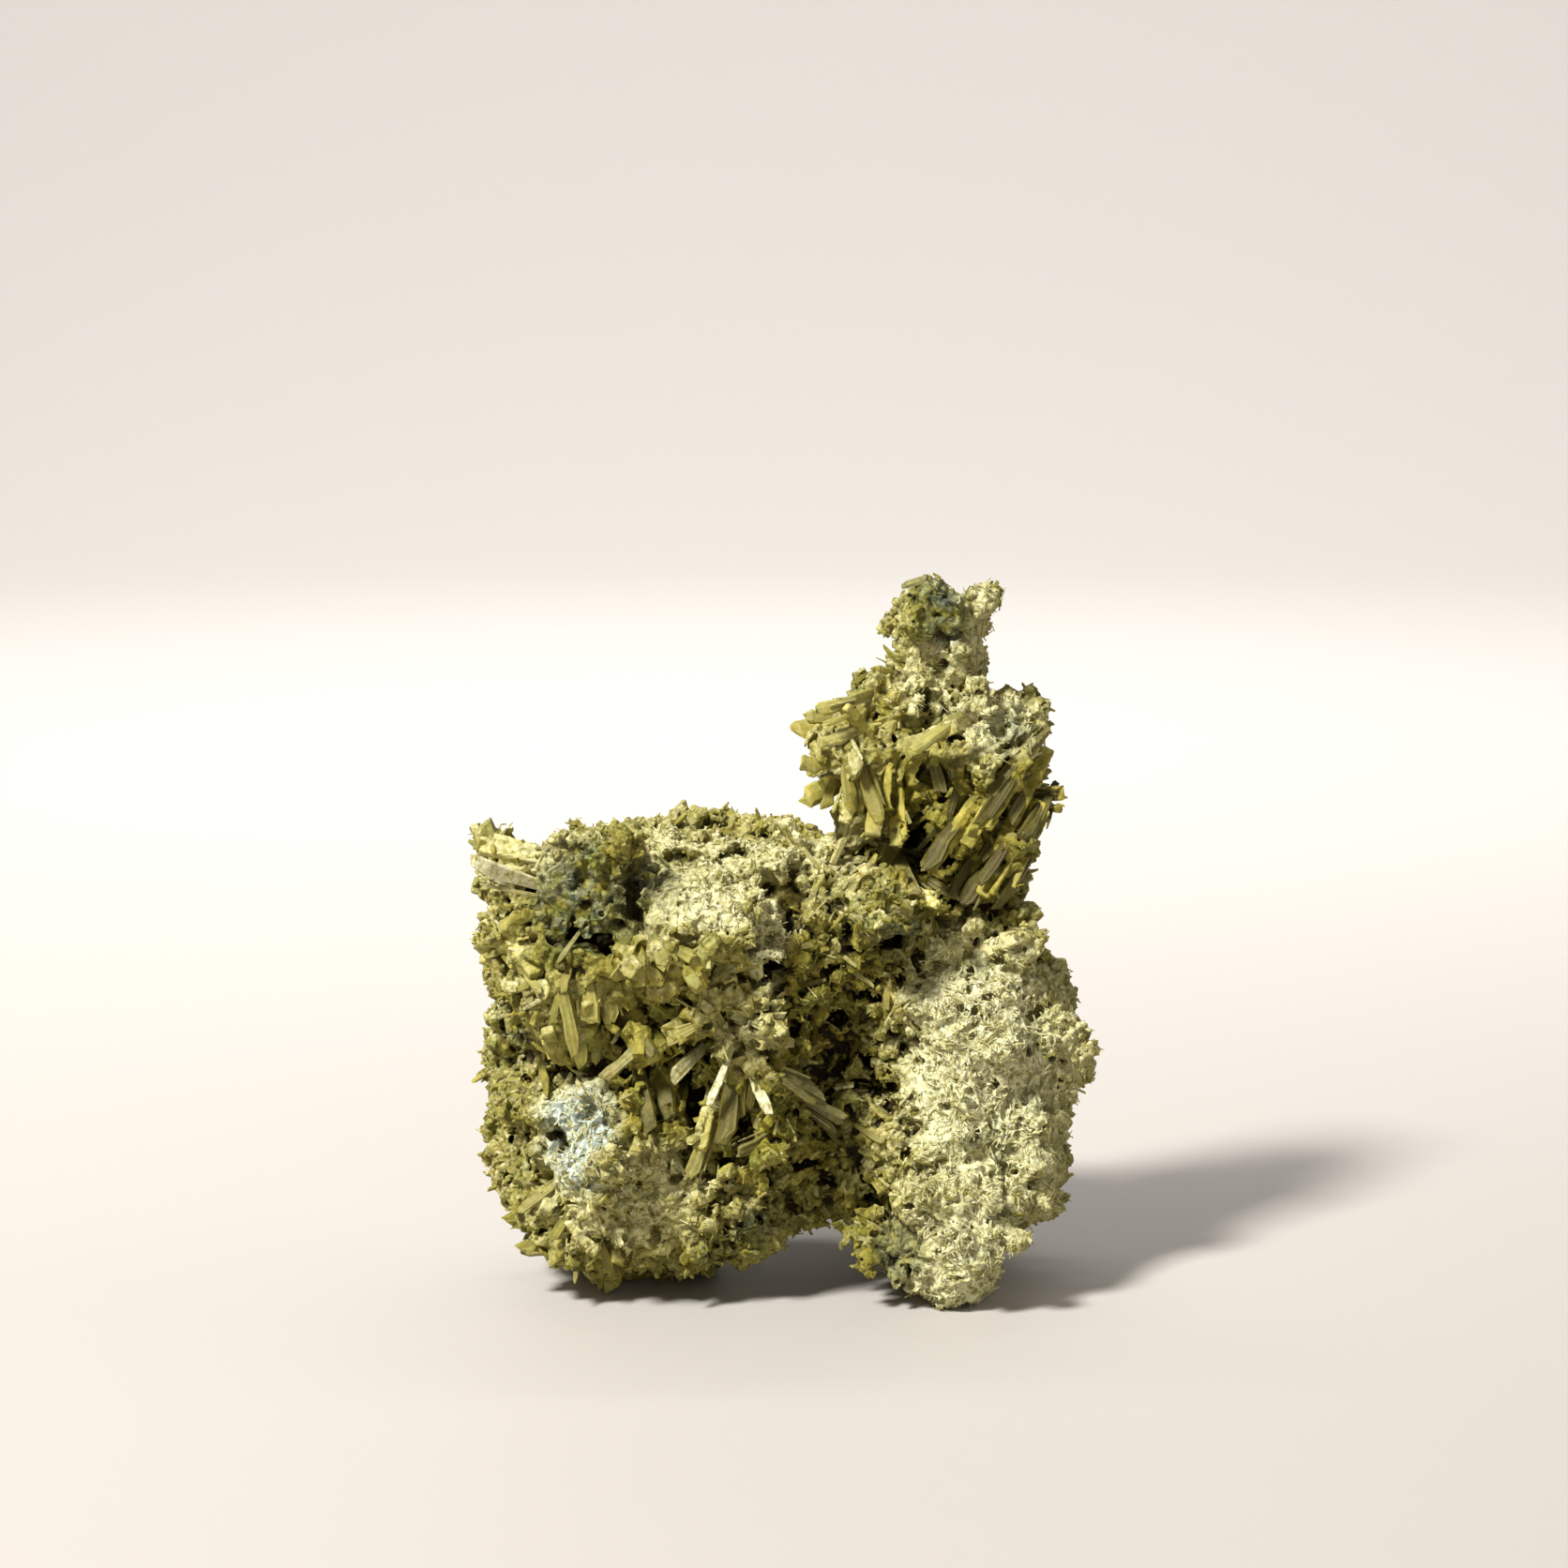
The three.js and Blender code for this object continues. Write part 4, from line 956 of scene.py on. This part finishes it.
def grown(block, field, hollow, skin, faces, front, draw):
    """The small crystals between the named ones, as blades, stubs and needles."""
    spots = scattered(skin, faces, SMALL_CRYSTALS, draw)
    outward = block.slope(field, spots)
    green = np.clip(nearness(spots, GREEN), 0, 1)
    pale = nearness(spots, PALE) * (1 - 0.7 * green)
    back, patches = on_the_back(block, spots)
    bladed = np.clip(nearness(spots, BLADED) + back * np.clip(patches * 2, 0, 1), 0, 1)
    felt = np.clip(nearness(spots, FELT) + back * np.clip(-patches * 2, 0, 1), 0, 1)
    way, owner = spray_directions(spots, outward, draw, SPRAYS, 4.5)
    crowd = (0.25 + 1.5 * draw.random(SPRAYS) ** 1.5)[owner]
    shade = nearness(spots, SHADE_PLACES)
    flat = way - outward * (way * outward).sum(1, keepdims=True)
    inward = (way * outward).sum(1) < 0.1
    way = np.where(inward[:, None], unit(flat + 0.35 * outward), way)
    depth = block.at(hollow, spots)
    lot = draw.random(len(spots)) + 0.6 * (depth > 0.55)
    covered = np.zeros(len(spots), bool)
    for start, end, wide, *_ in front:
        along = np.clip((spots - start) @ (end - start) / ((end - start) ** 2).sum(), 0.25, 1)
        covered |= np.linalg.norm(spots - start - along[:, None] * (end - start), axis=1) < 0.5 * wide + 0.9
    lot = lot + covered * draw.random(len(spots)) * 3
    blade = lot < 0.014 * bladed * crowd + 0.0002
    needle = ~blade & (lot < 0.02 + 0.26 * felt + 0.48 * pale)
    stub = draw.random(len(spots)) < (0.125 - 0.09 * pale - 0.07 * green) * crowd
    stub = stub & ~blade & ~needle & ~covered
    groups = {}
    for name, mask in (("blades", blade), ("stubs", stub), ("needles", needle)):
        count = int(mask.sum())
        p, n, w = spots[mask], outward[mask], way[mask]
        roll = unit(draw.normal(size=(count, 3)))
        if name == "blades":
            length = draw.uniform(2.0, 4.6, count)
            width = draw.uniform(0.6, 1.5, count)
            thick = width * draw.uniform(0.3, 0.55, count)
            section, rows, sink = HEXAGON, [(0, 0.85), (0.8, 1.0), (1.0, 0.55)], 0.5
            w = unit(w + 0.1 * n)
        elif name == "stubs":
            length = draw.uniform(0.6, 1.7, count) * (1 - 0.3 * pale[mask])
            width = length * draw.uniform(0.3, 0.6, count)
            thick = width * draw.uniform(0.6, 0.95, count)
            section, rows, sink = SLAT, [(0, 1.0), (1.0, 0.75)], 0.55
            w = unit(w + 0.4 * draw.normal(size=(count, 3)))
        else:
            length = draw.uniform(0.8, 2.3, count)
            width = draw.uniform(0.17, 0.34, count)
            thick = width * draw.uniform(0.6, 1.0, count)
            section, rows, sink = SPLINTER, [(0, 0.9), (1.0, 0.6)], 0.45
            flat = unit(w - n * (w * n).sum(1, keepdims=True) + 0.6 * draw.normal(size=(count, 3)))
            w = unit(flat - n * (flat * n).sum(1, keepdims=True) + draw.normal(0.06, 0.1, (count, 1)) * n)
        foot = p - w * (length * sink)[:, None]
        points = prisms(
            foot, w, roll, length, width, thick, section, rows,
            draw.uniform(-0.7, 0.7, count), draw.uniform(0, 0.6, count), draw, 0.08,
        )
        rows_along = np.repeat([row[0] for row in rows], len(section))[None]
        # Painted shade: darker in hollows and in the shaded places, less towards each crystal's tip.
        painted_shade = np.clip(depth[mask] + 0.7 * shade[mask], 0, 1)[:, None] * (1 - 0.45 * rows_along)
        values = {
            "tint": np.clip(draw.random(count) * 0.6 + 0.4 * (owner[mask] % 17) / 17, 0, 1),
            "dust": np.clip(0.7 * pale[mask] + 0.3 * n[:, 2] + draw.normal(0, 0.22, count), 0, 1),
            "along": rows_along * np.ones((count, 1)),
            "green": green[mask] * 0.8,
            "painted_shade": painted_shade,
        }
        groups[name] = (points, prism_faces(len(section), len(rows)), values)
    return groups


def thinned(points, faces, most):
    """The crust with no more triangles than that, kept where the shape needs them."""
    if len(faces) <= most:
        return points, faces
    rough = new_object("crust_rough", points, faces, {}, None)
    rough.modifiers.new("fewer", "DECIMATE").ratio = most / len(faces)
    points, faces = read_mesh(rough.evaluated_get(bpy.context.evaluated_depsgraph_get()).to_mesh())
    rough.to_mesh_clear()
    bpy.data.objects.remove(rough)
    return points, faces


def crust_pieces(points, faces, values, material):
    """The crust cut into closed pieces small enough for any reader."""
    whole = new_object("crust_whole", points, faces, values, material)
    cuts = {"crust_tower": [(2, TOWER_CUT, -1)]}
    for name, ends in SLICES.items():
        sides = [(0, end, way) for end, way in zip(ends, (-1, 1)) if end is not None]
        cuts[name] = [(2, TOWER_CUT, 1), *sides]
    pieces = []
    for name, planes in cuts.items():
        shape = bmesh.new()
        shape.from_mesh(whole.data)
        for axis, at, way in planes:
            place, away = np.zeros(3), np.zeros(3)
            place[axis], away[axis] = at, way
            done = bmesh.ops.bisect_plane(
                shape,
                geom=shape.verts[:] + shape.edges[:] + shape.faces[:],
                plane_co=(place - CENTRE) * MM,
                plane_no=away,
                clear_outer=True,
            )
            rim = [edge for edge in done["geom_cut"] if isinstance(edge, bmesh.types.BMEdge)]
            bmesh.ops.triangle_fill(shape, use_beauty=True, edges=rim)
        bmesh.ops.triangulate(shape, faces=shape.faces[:])
        mesh = bpy.data.meshes.new(name)
        shape.to_mesh(mesh)
        shape.free()
        mesh.materials.append(material)
        pieces.append(placed(name, mesh))
    bpy.data.objects.remove(whole)
    return pieces


class Nodes:
    """Short ways to build a material's nodes. An input is a number, a colour or another node's output."""

    def __init__(self, name):
        self.material = bpy.data.materials.new(name)
        self.material.use_nodes = True
        self.tree = self.material.node_tree
        self.shader = self.tree.nodes["Principled BSDF"]

    def link(self, source, target):
        self.tree.links.new(source, self.shader.inputs[target])

    def constant(self, name, value):
        self.shader.inputs[name].default_value = value

    def node(self, kind, inputs, **settings):
        node = self.tree.nodes.new("ShaderNode" + kind)
        for key, value in settings.items():
            setattr(node, key, value)
        for slot, item in inputs.items():
            if isinstance(item, bpy.types.NodeSocket):
                self.tree.links.new(item, node.inputs[slot])
            else:
                node.inputs[slot].default_value = item
        return node

    def values(self, *names):
        """What the mesh says at each point."""
        return [self.node("Attribute", {}, attribute_name=name).outputs["Fac"] for name in names]

    def place(self):
        return self.node("TexCoord", {}).outputs["Object"]

    def noise(self, size, detail=4, rough=0.6):
        inputs = {"Scale": 1 / (size * MM), "Detail": detail, "Roughness": rough, "Vector": self.place()}
        return self.node("TexNoise", inputs).outputs["Fac"]

    def cells(self, size, warp):
        """Uneven cells: how far a point is from its cell's middle, and a random number for each cell."""
        wave = self.node("TexNoise", {"Scale": 1 / (2 * size * MM), "Vector": self.place()})
        inputs = {0: wave.outputs["Color"], 1: (warp * MM,) * 3, 2: self.place()}
        moved = self.node("VectorMath", inputs, operation="MULTIPLY_ADD")
        node = self.node("TexVoronoi", {"Scale": 1 / (size * MM), "Vector": moved.outputs[0]})
        return node.outputs["Distance"], node.outputs["Color"]

    def math(self, operation, a, b, clamp=False):
        return self.node("Math", {0: a, 1: b}, operation=operation, use_clamp=clamp).outputs[0]

    def times(self, a, b, clamp=False):
        return self.math("MULTIPLY", a, b, clamp)

    def ramp(self, source, low, high, out_low=0.0, out_high=1.0):
        inputs = {"Value": source, "From Min": low, "From Max": high, "To Min": out_low, "To Max": out_high}
        return self.node("MapRange", inputs).outputs["Result"]

    def patches(self, size, detail, low, high, out_low=0.0, out_high=1.0):
        """Patches of that size in mm, from where the noise passes low to where it passes high."""
        return self.ramp(self.noise(size, detail), low, high, out_low, out_high)

    def mix(self, share, a, b):
        """A mix of two colours, whose sockets are the node's seventh and eighth."""
        return self.node("Mix", {0: share, 6: a, 7: b}, data_type="RGBA").outputs[2]

    def bump(self, height, distance, strength):
        inputs = {"Distance": distance * MM, "Strength": strength, "Height": height}
        self.link(self.node("Bump", inputs).outputs["Normal"], "Normal")


def linear(red, green, blue):
    """A screen colour, 0 to 255, as the linear colour that a shader takes."""
    shares = [v / 255 for v in (red, green, blue)]
    return (*(v / 12.92 if v <= 0.04045 else ((v + 0.055) / 1.055) ** 2.4 for v in shares), 1)


# Tones of the crystals, the dust and the rock, and the painted shade in gaps, hollows and at crystals' feet.
OLIVE = linear(150, 141, 48)
HONEY = linear(186, 173, 80)
AMBER = linear(160, 137, 42)
MOSS = linear(93, 88, 25)
LEAF = linear(120, 130, 58)
MINT = linear(214, 221, 184)
STRAW = linear(219, 212, 156)
SAGE = linear(146, 150, 108)
CREAM = linear(229, 225, 186)
CHLORITE = linear(42, 52, 33)
FROST = linear(200, 215, 212)
SLATE = linear(88, 101, 88)
SHADE_UMBER = linear(34, 24, 2)
SHADE_OLIVE = linear(92, 84, 26)
SHADE_BROWN = linear(46, 36, 4)


def crust_material():
    n = Nodes("crust")
    tint, blade, green, blue = n.values("tint", "blade", "green", "blue")
    pale, painted_shade, dust = n.values("pale", "painted_shade", "dust")
    apart, lot = n.cells(0.6, 0.8)
    own = n.math("ADD", n.times(tint, 0.7), n.times(lot, 0.3))
    base = n.mix(own, MOSS, OLIVE)
    base = n.mix(n.patches(3.2, 3, 0.52, 0.66, 0.0, 0.6), base, LEAF)
    base = n.mix(n.times(blade, n.patches(1.6, 4, 0.42, 0.62, 0.0, 0.7)), base, HONEY)
    base = n.mix(n.times(blade, n.patches(2.6, 3, 0.5, 0.35, 0.0, 0.8)), base, MOSS)
    base = n.mix(n.patches(5, 2, 0.5, 0.75, 0.0, 0.6), base, n.mix(tint, HONEY, AMBER))
    rock = n.mix(n.patches(1.1, 4, 0.46, 0.62), CHLORITE, SAGE)
    base = n.mix(n.times(green, n.patches(1.8, 3, 0.35, 0.6)), base, rock)
    base = n.mix(n.times(pale, 0.8), base, n.mix(blue, STRAW, FROST))

    specks = n.math("ADD", n.patches(0.7, 3, 0.3, 0.65), n.ramp(lot, 0.6, 0.9, -0.1, 0.5))
    dust = n.times(dust, specks, clamp=True)
    soft = n.mix(n.patches(5, 3, 0.42, 0.62), CREAM, MINT)
    base = n.mix(dust, base, n.mix(blue, n.mix(pale, STRAW, soft), FROST))
    base = n.mix(n.times(blue, n.patches(1.3, 4, 0.5, 0.6, 0.0, 0.85)), base, SLATE)

    clean = n.ramp(n.math("MAXIMUM", pale, blade), 0, 1, 1.0, 0.2)
    # Painted shade: darker in the pores between grains and with the crust's painted shade, olive on pale
    # parts.
    gap_shade = n.math("ADD", n.ramp(apart, 0.45, 0.75, 0.0, 0.5), n.patches(0.5, 4, 0.4, 0.28, 0.0, 0.35))
    gap_shade = n.math("ADD", painted_shade, n.times(gap_shade, clean), clamp=True)
    base = n.mix(gap_shade, base, n.mix(pale, SHADE_UMBER, SHADE_OLIVE))
    n.link(base, "Base Color")
    n.link(n.ramp(dust, 0, 1, 0.5, 0.85), "Roughness")
    n.constant("Specular IOR Level", 0.25)
    height = n.math("SUBTRACT", n.noise(0.35, 5, 0.7), n.times(apart, 0.8))
    n.bump(n.times(height, n.ramp(blade, 0, 1, 1.0, 0.5)), 0.3, 0.8)
    return n.material


def crystal_material():
    n = Nodes("crystal")
    tint, green, painted_shade, dust = n.values("tint", "green", "painted_shade", "dust")
    base = n.mix(tint, OLIVE, HONEY)
    moss = n.times(n.patches(2.5, 4, 0.3, 0.6, 0.2, 0.9), n.ramp(tint, 0.6, 1, 1.0, 0.6))
    base = n.mix(moss, base, MOSS)
    base = n.mix(n.patches(5, 2, 0.52, 0.7, 0.0, 0.4), base, AMBER)
    base = n.mix(n.patches(1.4, 3, 0.52, 0.66, 0.0, 0.5), base, LEAF)
    base = n.mix(green, base, CHLORITE)
    cover = n.times(dust, n.patches(0.7, 4, 0.3, 0.6), clamp=True)
    # Painted shade: less dust and a dark brown colour where shade falls.
    cover = n.times(cover, n.ramp(painted_shade, 0, 1, 1.0, 0.2))
    base = n.mix(cover, base, n.mix(dust, STRAW, CREAM))
    n.link(n.mix(painted_shade, base, SHADE_BROWN), "Base Color")
    n.link(n.ramp(cover, 0, 1, 0.42, 0.75), "Roughness")
    n.constant("Specular IOR Level", 0.35)
    n.constant("Subsurface Weight", 0.2)
    n.constant("Subsurface Radius", (1, 0.85, 0.25))
    n.constant("Subsurface Scale", 0.8 * MM)
    n.bump(n.noise(0.4, 5, 0.7), 0.2, 0.8)
    return n.material


def plain_material(name, colour, roughness):
    n = Nodes(name)
    n.constant("Base Color", colour)
    n.constant("Roughness", roughness)
    return n.material


def build_part(node):
    """The crust and the crystals on it, in the place of the part's solid."""
    block, worn = solid_without_blades(node)
    field, layers = roughened(block, worn)
    solid = np.clip(0.5 - field / VOXEL, 0, 1)
    near, wide = block.blurred(solid, 1.2), block.blurred(block.blurred(solid, 2.6), 2.6)
    broad = block.blurred(block.blurred(solid, 5), 5)
    points, faces = thinned(*largest_body(*surface_of(block, field, 0.0)), CRUST_FACES)
    outward = block.slope(field, points, 0.5)

    green, dark, lit = nearness(points, GREEN), nearness(points, SHADE_PLACES), nearness(points, LIT)
    pale = nearness(points, PALE) * (1 - 0.7 * green)
    # Painted shade: darker where the surface is closed in by the crust round it and in the shaded places,
    # less where painted light goes.
    hollow = (block.at(near, points + 0.6 * outward) - 0.32) * 3.1 + (block.at(wide, points) - 0.5) * 3.0
    hollow = hollow + (block.at(broad, points) - 0.5) * 1.8 + 0.45 * dark
    hollow = np.clip(hollow, 0, 1) * (1 - 0.9 * lit)
    # More dust on faces turned up, and, as painted light, on faces turned to the front and left, towards the
    # key lamp.
    up = np.clip(0.5 + 0.7 * outward[:, 2] - 0.15 * outward[:, 1] - 0.2 * outward[:, 0], 0, 1)
    edges = block.at(block.waves(4, 31), points) * 0.25
    own, frost, blade = (block.at(layer, points - 0.15 * outward) for layer in layers)
    # Less dust in the shaded places and in hollows, as painted shade.
    bare = 0.27 + 0.8 * pale - 0.5 * green - 0.5 * dark + 1.2 * edges + 0.25 * own + 0.9 * frost
    settled_and_lit = 0.25 + 0.35 * pale + (1.1 - 0.3 * pale) * up * up
    values = {
        "tint": own,
        # The crust's painted shade.
        "painted_shade": hollow * (1 - 0.35 * blade) * (1 - 0.6 * pale),
        "pale": pale,
        # Painted light raises the blades' tone in the lit places.
        "blade": np.maximum(blade, 0.9 * lit),
        # Dust, partly real and partly painted light and shade by the terms above.
        "dust": np.clip(bare * settled_and_lit - 0.9 * hollow, 0, 1),
        "green": np.clip(1.1 * green + 1.2 * edges, 0, 1) * (green > 0),
        "blue": nearness(points, BLUE),
    }
    sharp = crystal_material()
    pieces = crust_pieces(points, faces, values, crust_material())
    draw = np.random.default_rng(5)
    front = [blade for blade in front_laths(block, field, draw) if blade[2] < BROAD]
    small = grown(block, field, (near - 0.5) * 2 + (wide - 0.5), points, faces, front, draw)
    pieces.append(crystals("laths", laths(front, draw), sharp))
    for name, group in small.items():
        pieces.append(crystals(name, [group], sharp))
    for piece in pieces:
        dress(piece)


def floor_and_wall():
    """A pale round floor that sweeps up into a wall all round."""
    flat, radius, height, steps, turns = 0.9, 0.9, 1.9, 24, 96
    profile = [(0.001, 0.0)]
    for i in range(steps + 1):
        angle = math.pi / 2 * i / steps
        profile.append((flat + radius * math.sin(angle), radius * (1 - math.cos(angle))))
    profile.append((flat + radius, height))
    around = [2 * math.pi * k / turns for k in range(turns)]
    points = [(r * math.cos(a), r * math.sin(a), z) for r, z in profile for a in around]
    faces = [tuple(range(turns))]
    for row in range(len(profile) - 1):
        for k in range(turns):
            a, b = row * turns + k, row * turns + (k + 1) % turns
            faces.append((a, a + turns, b + turns, b))
    mesh = bpy.data.meshes.new("floor")
    mesh.from_pydata(points, [], faces, shade_flat=False)
    mesh.materials.append(plain_material("floor", linear(181, 176, 170), 0.6))
    placed("floor", mesh)


def lamp(name, place, aim, power, size, colour):
    """A square lamp of that size in metres and power in watts, turned towards what it lights."""
    light = bpy.data.lights.new(name, "AREA")
    light.energy, light.size, light.color = power, size, colour
    holder = placed(name, light)
    holder.location = place
    holder.rotation_euler = (Vector(aim) - Vector(place)).to_track_quat("-Z", "Y").to_euler()


def lights():
    world = bpy.data.worlds.new("studio")
    world.use_nodes = True
    back = world.node_tree.nodes["Background"]
    back.inputs["Color"].default_value = (1, 0.94, 0.82, 1)
    back.inputs["Strength"].default_value = 0.07
    bpy.context.scene.world = world
    lamp("key", (-0.45, -0.5, 0.77), (0, 0, 0.05), 20.5, 0.16, (1, 0.985, 0.95))
    lamp("fill", (0.15, -0.9, 0.35), (0, 0, 0.04), 0.9, 0.5, (1, 0.95, 0.85))
    lamp("side", (0.9, 0.15, 0.5), (0, 0, 0.04), 1.2, 0.5, (1, 0.97, 0.9))
    lamp("wall", (0, 0.4, 0.9), (0, 1.7, 0.15), 23, 0.8, (0.97, 0.98, 1))


def camera():
    """The photo's view: a long lens from the front, looking a little down."""
    lens = bpy.data.cameras.new("camera")
    lens.lens, lens.sensor_width, lens.clip_start = 85, 36, 0.01
    holder = placed("camera", lens)
    holder.location = (-0.736 * MM, -460.52 * MM, 136.34 * MM)
    holder.rotation_euler = (math.radians(81), 0, 0)
    bpy.context.scene.camera = holder


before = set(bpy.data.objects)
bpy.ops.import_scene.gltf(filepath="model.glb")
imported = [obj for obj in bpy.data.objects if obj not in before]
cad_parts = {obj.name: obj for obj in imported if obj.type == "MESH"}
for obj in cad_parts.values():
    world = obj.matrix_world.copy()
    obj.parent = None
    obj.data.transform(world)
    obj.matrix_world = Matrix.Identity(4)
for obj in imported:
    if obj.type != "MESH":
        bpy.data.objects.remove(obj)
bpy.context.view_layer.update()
build_part(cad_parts[NODE])
floor_and_wall()
lights()
camera()
bpy.context.scene.view_settings.view_transform = "Standard"
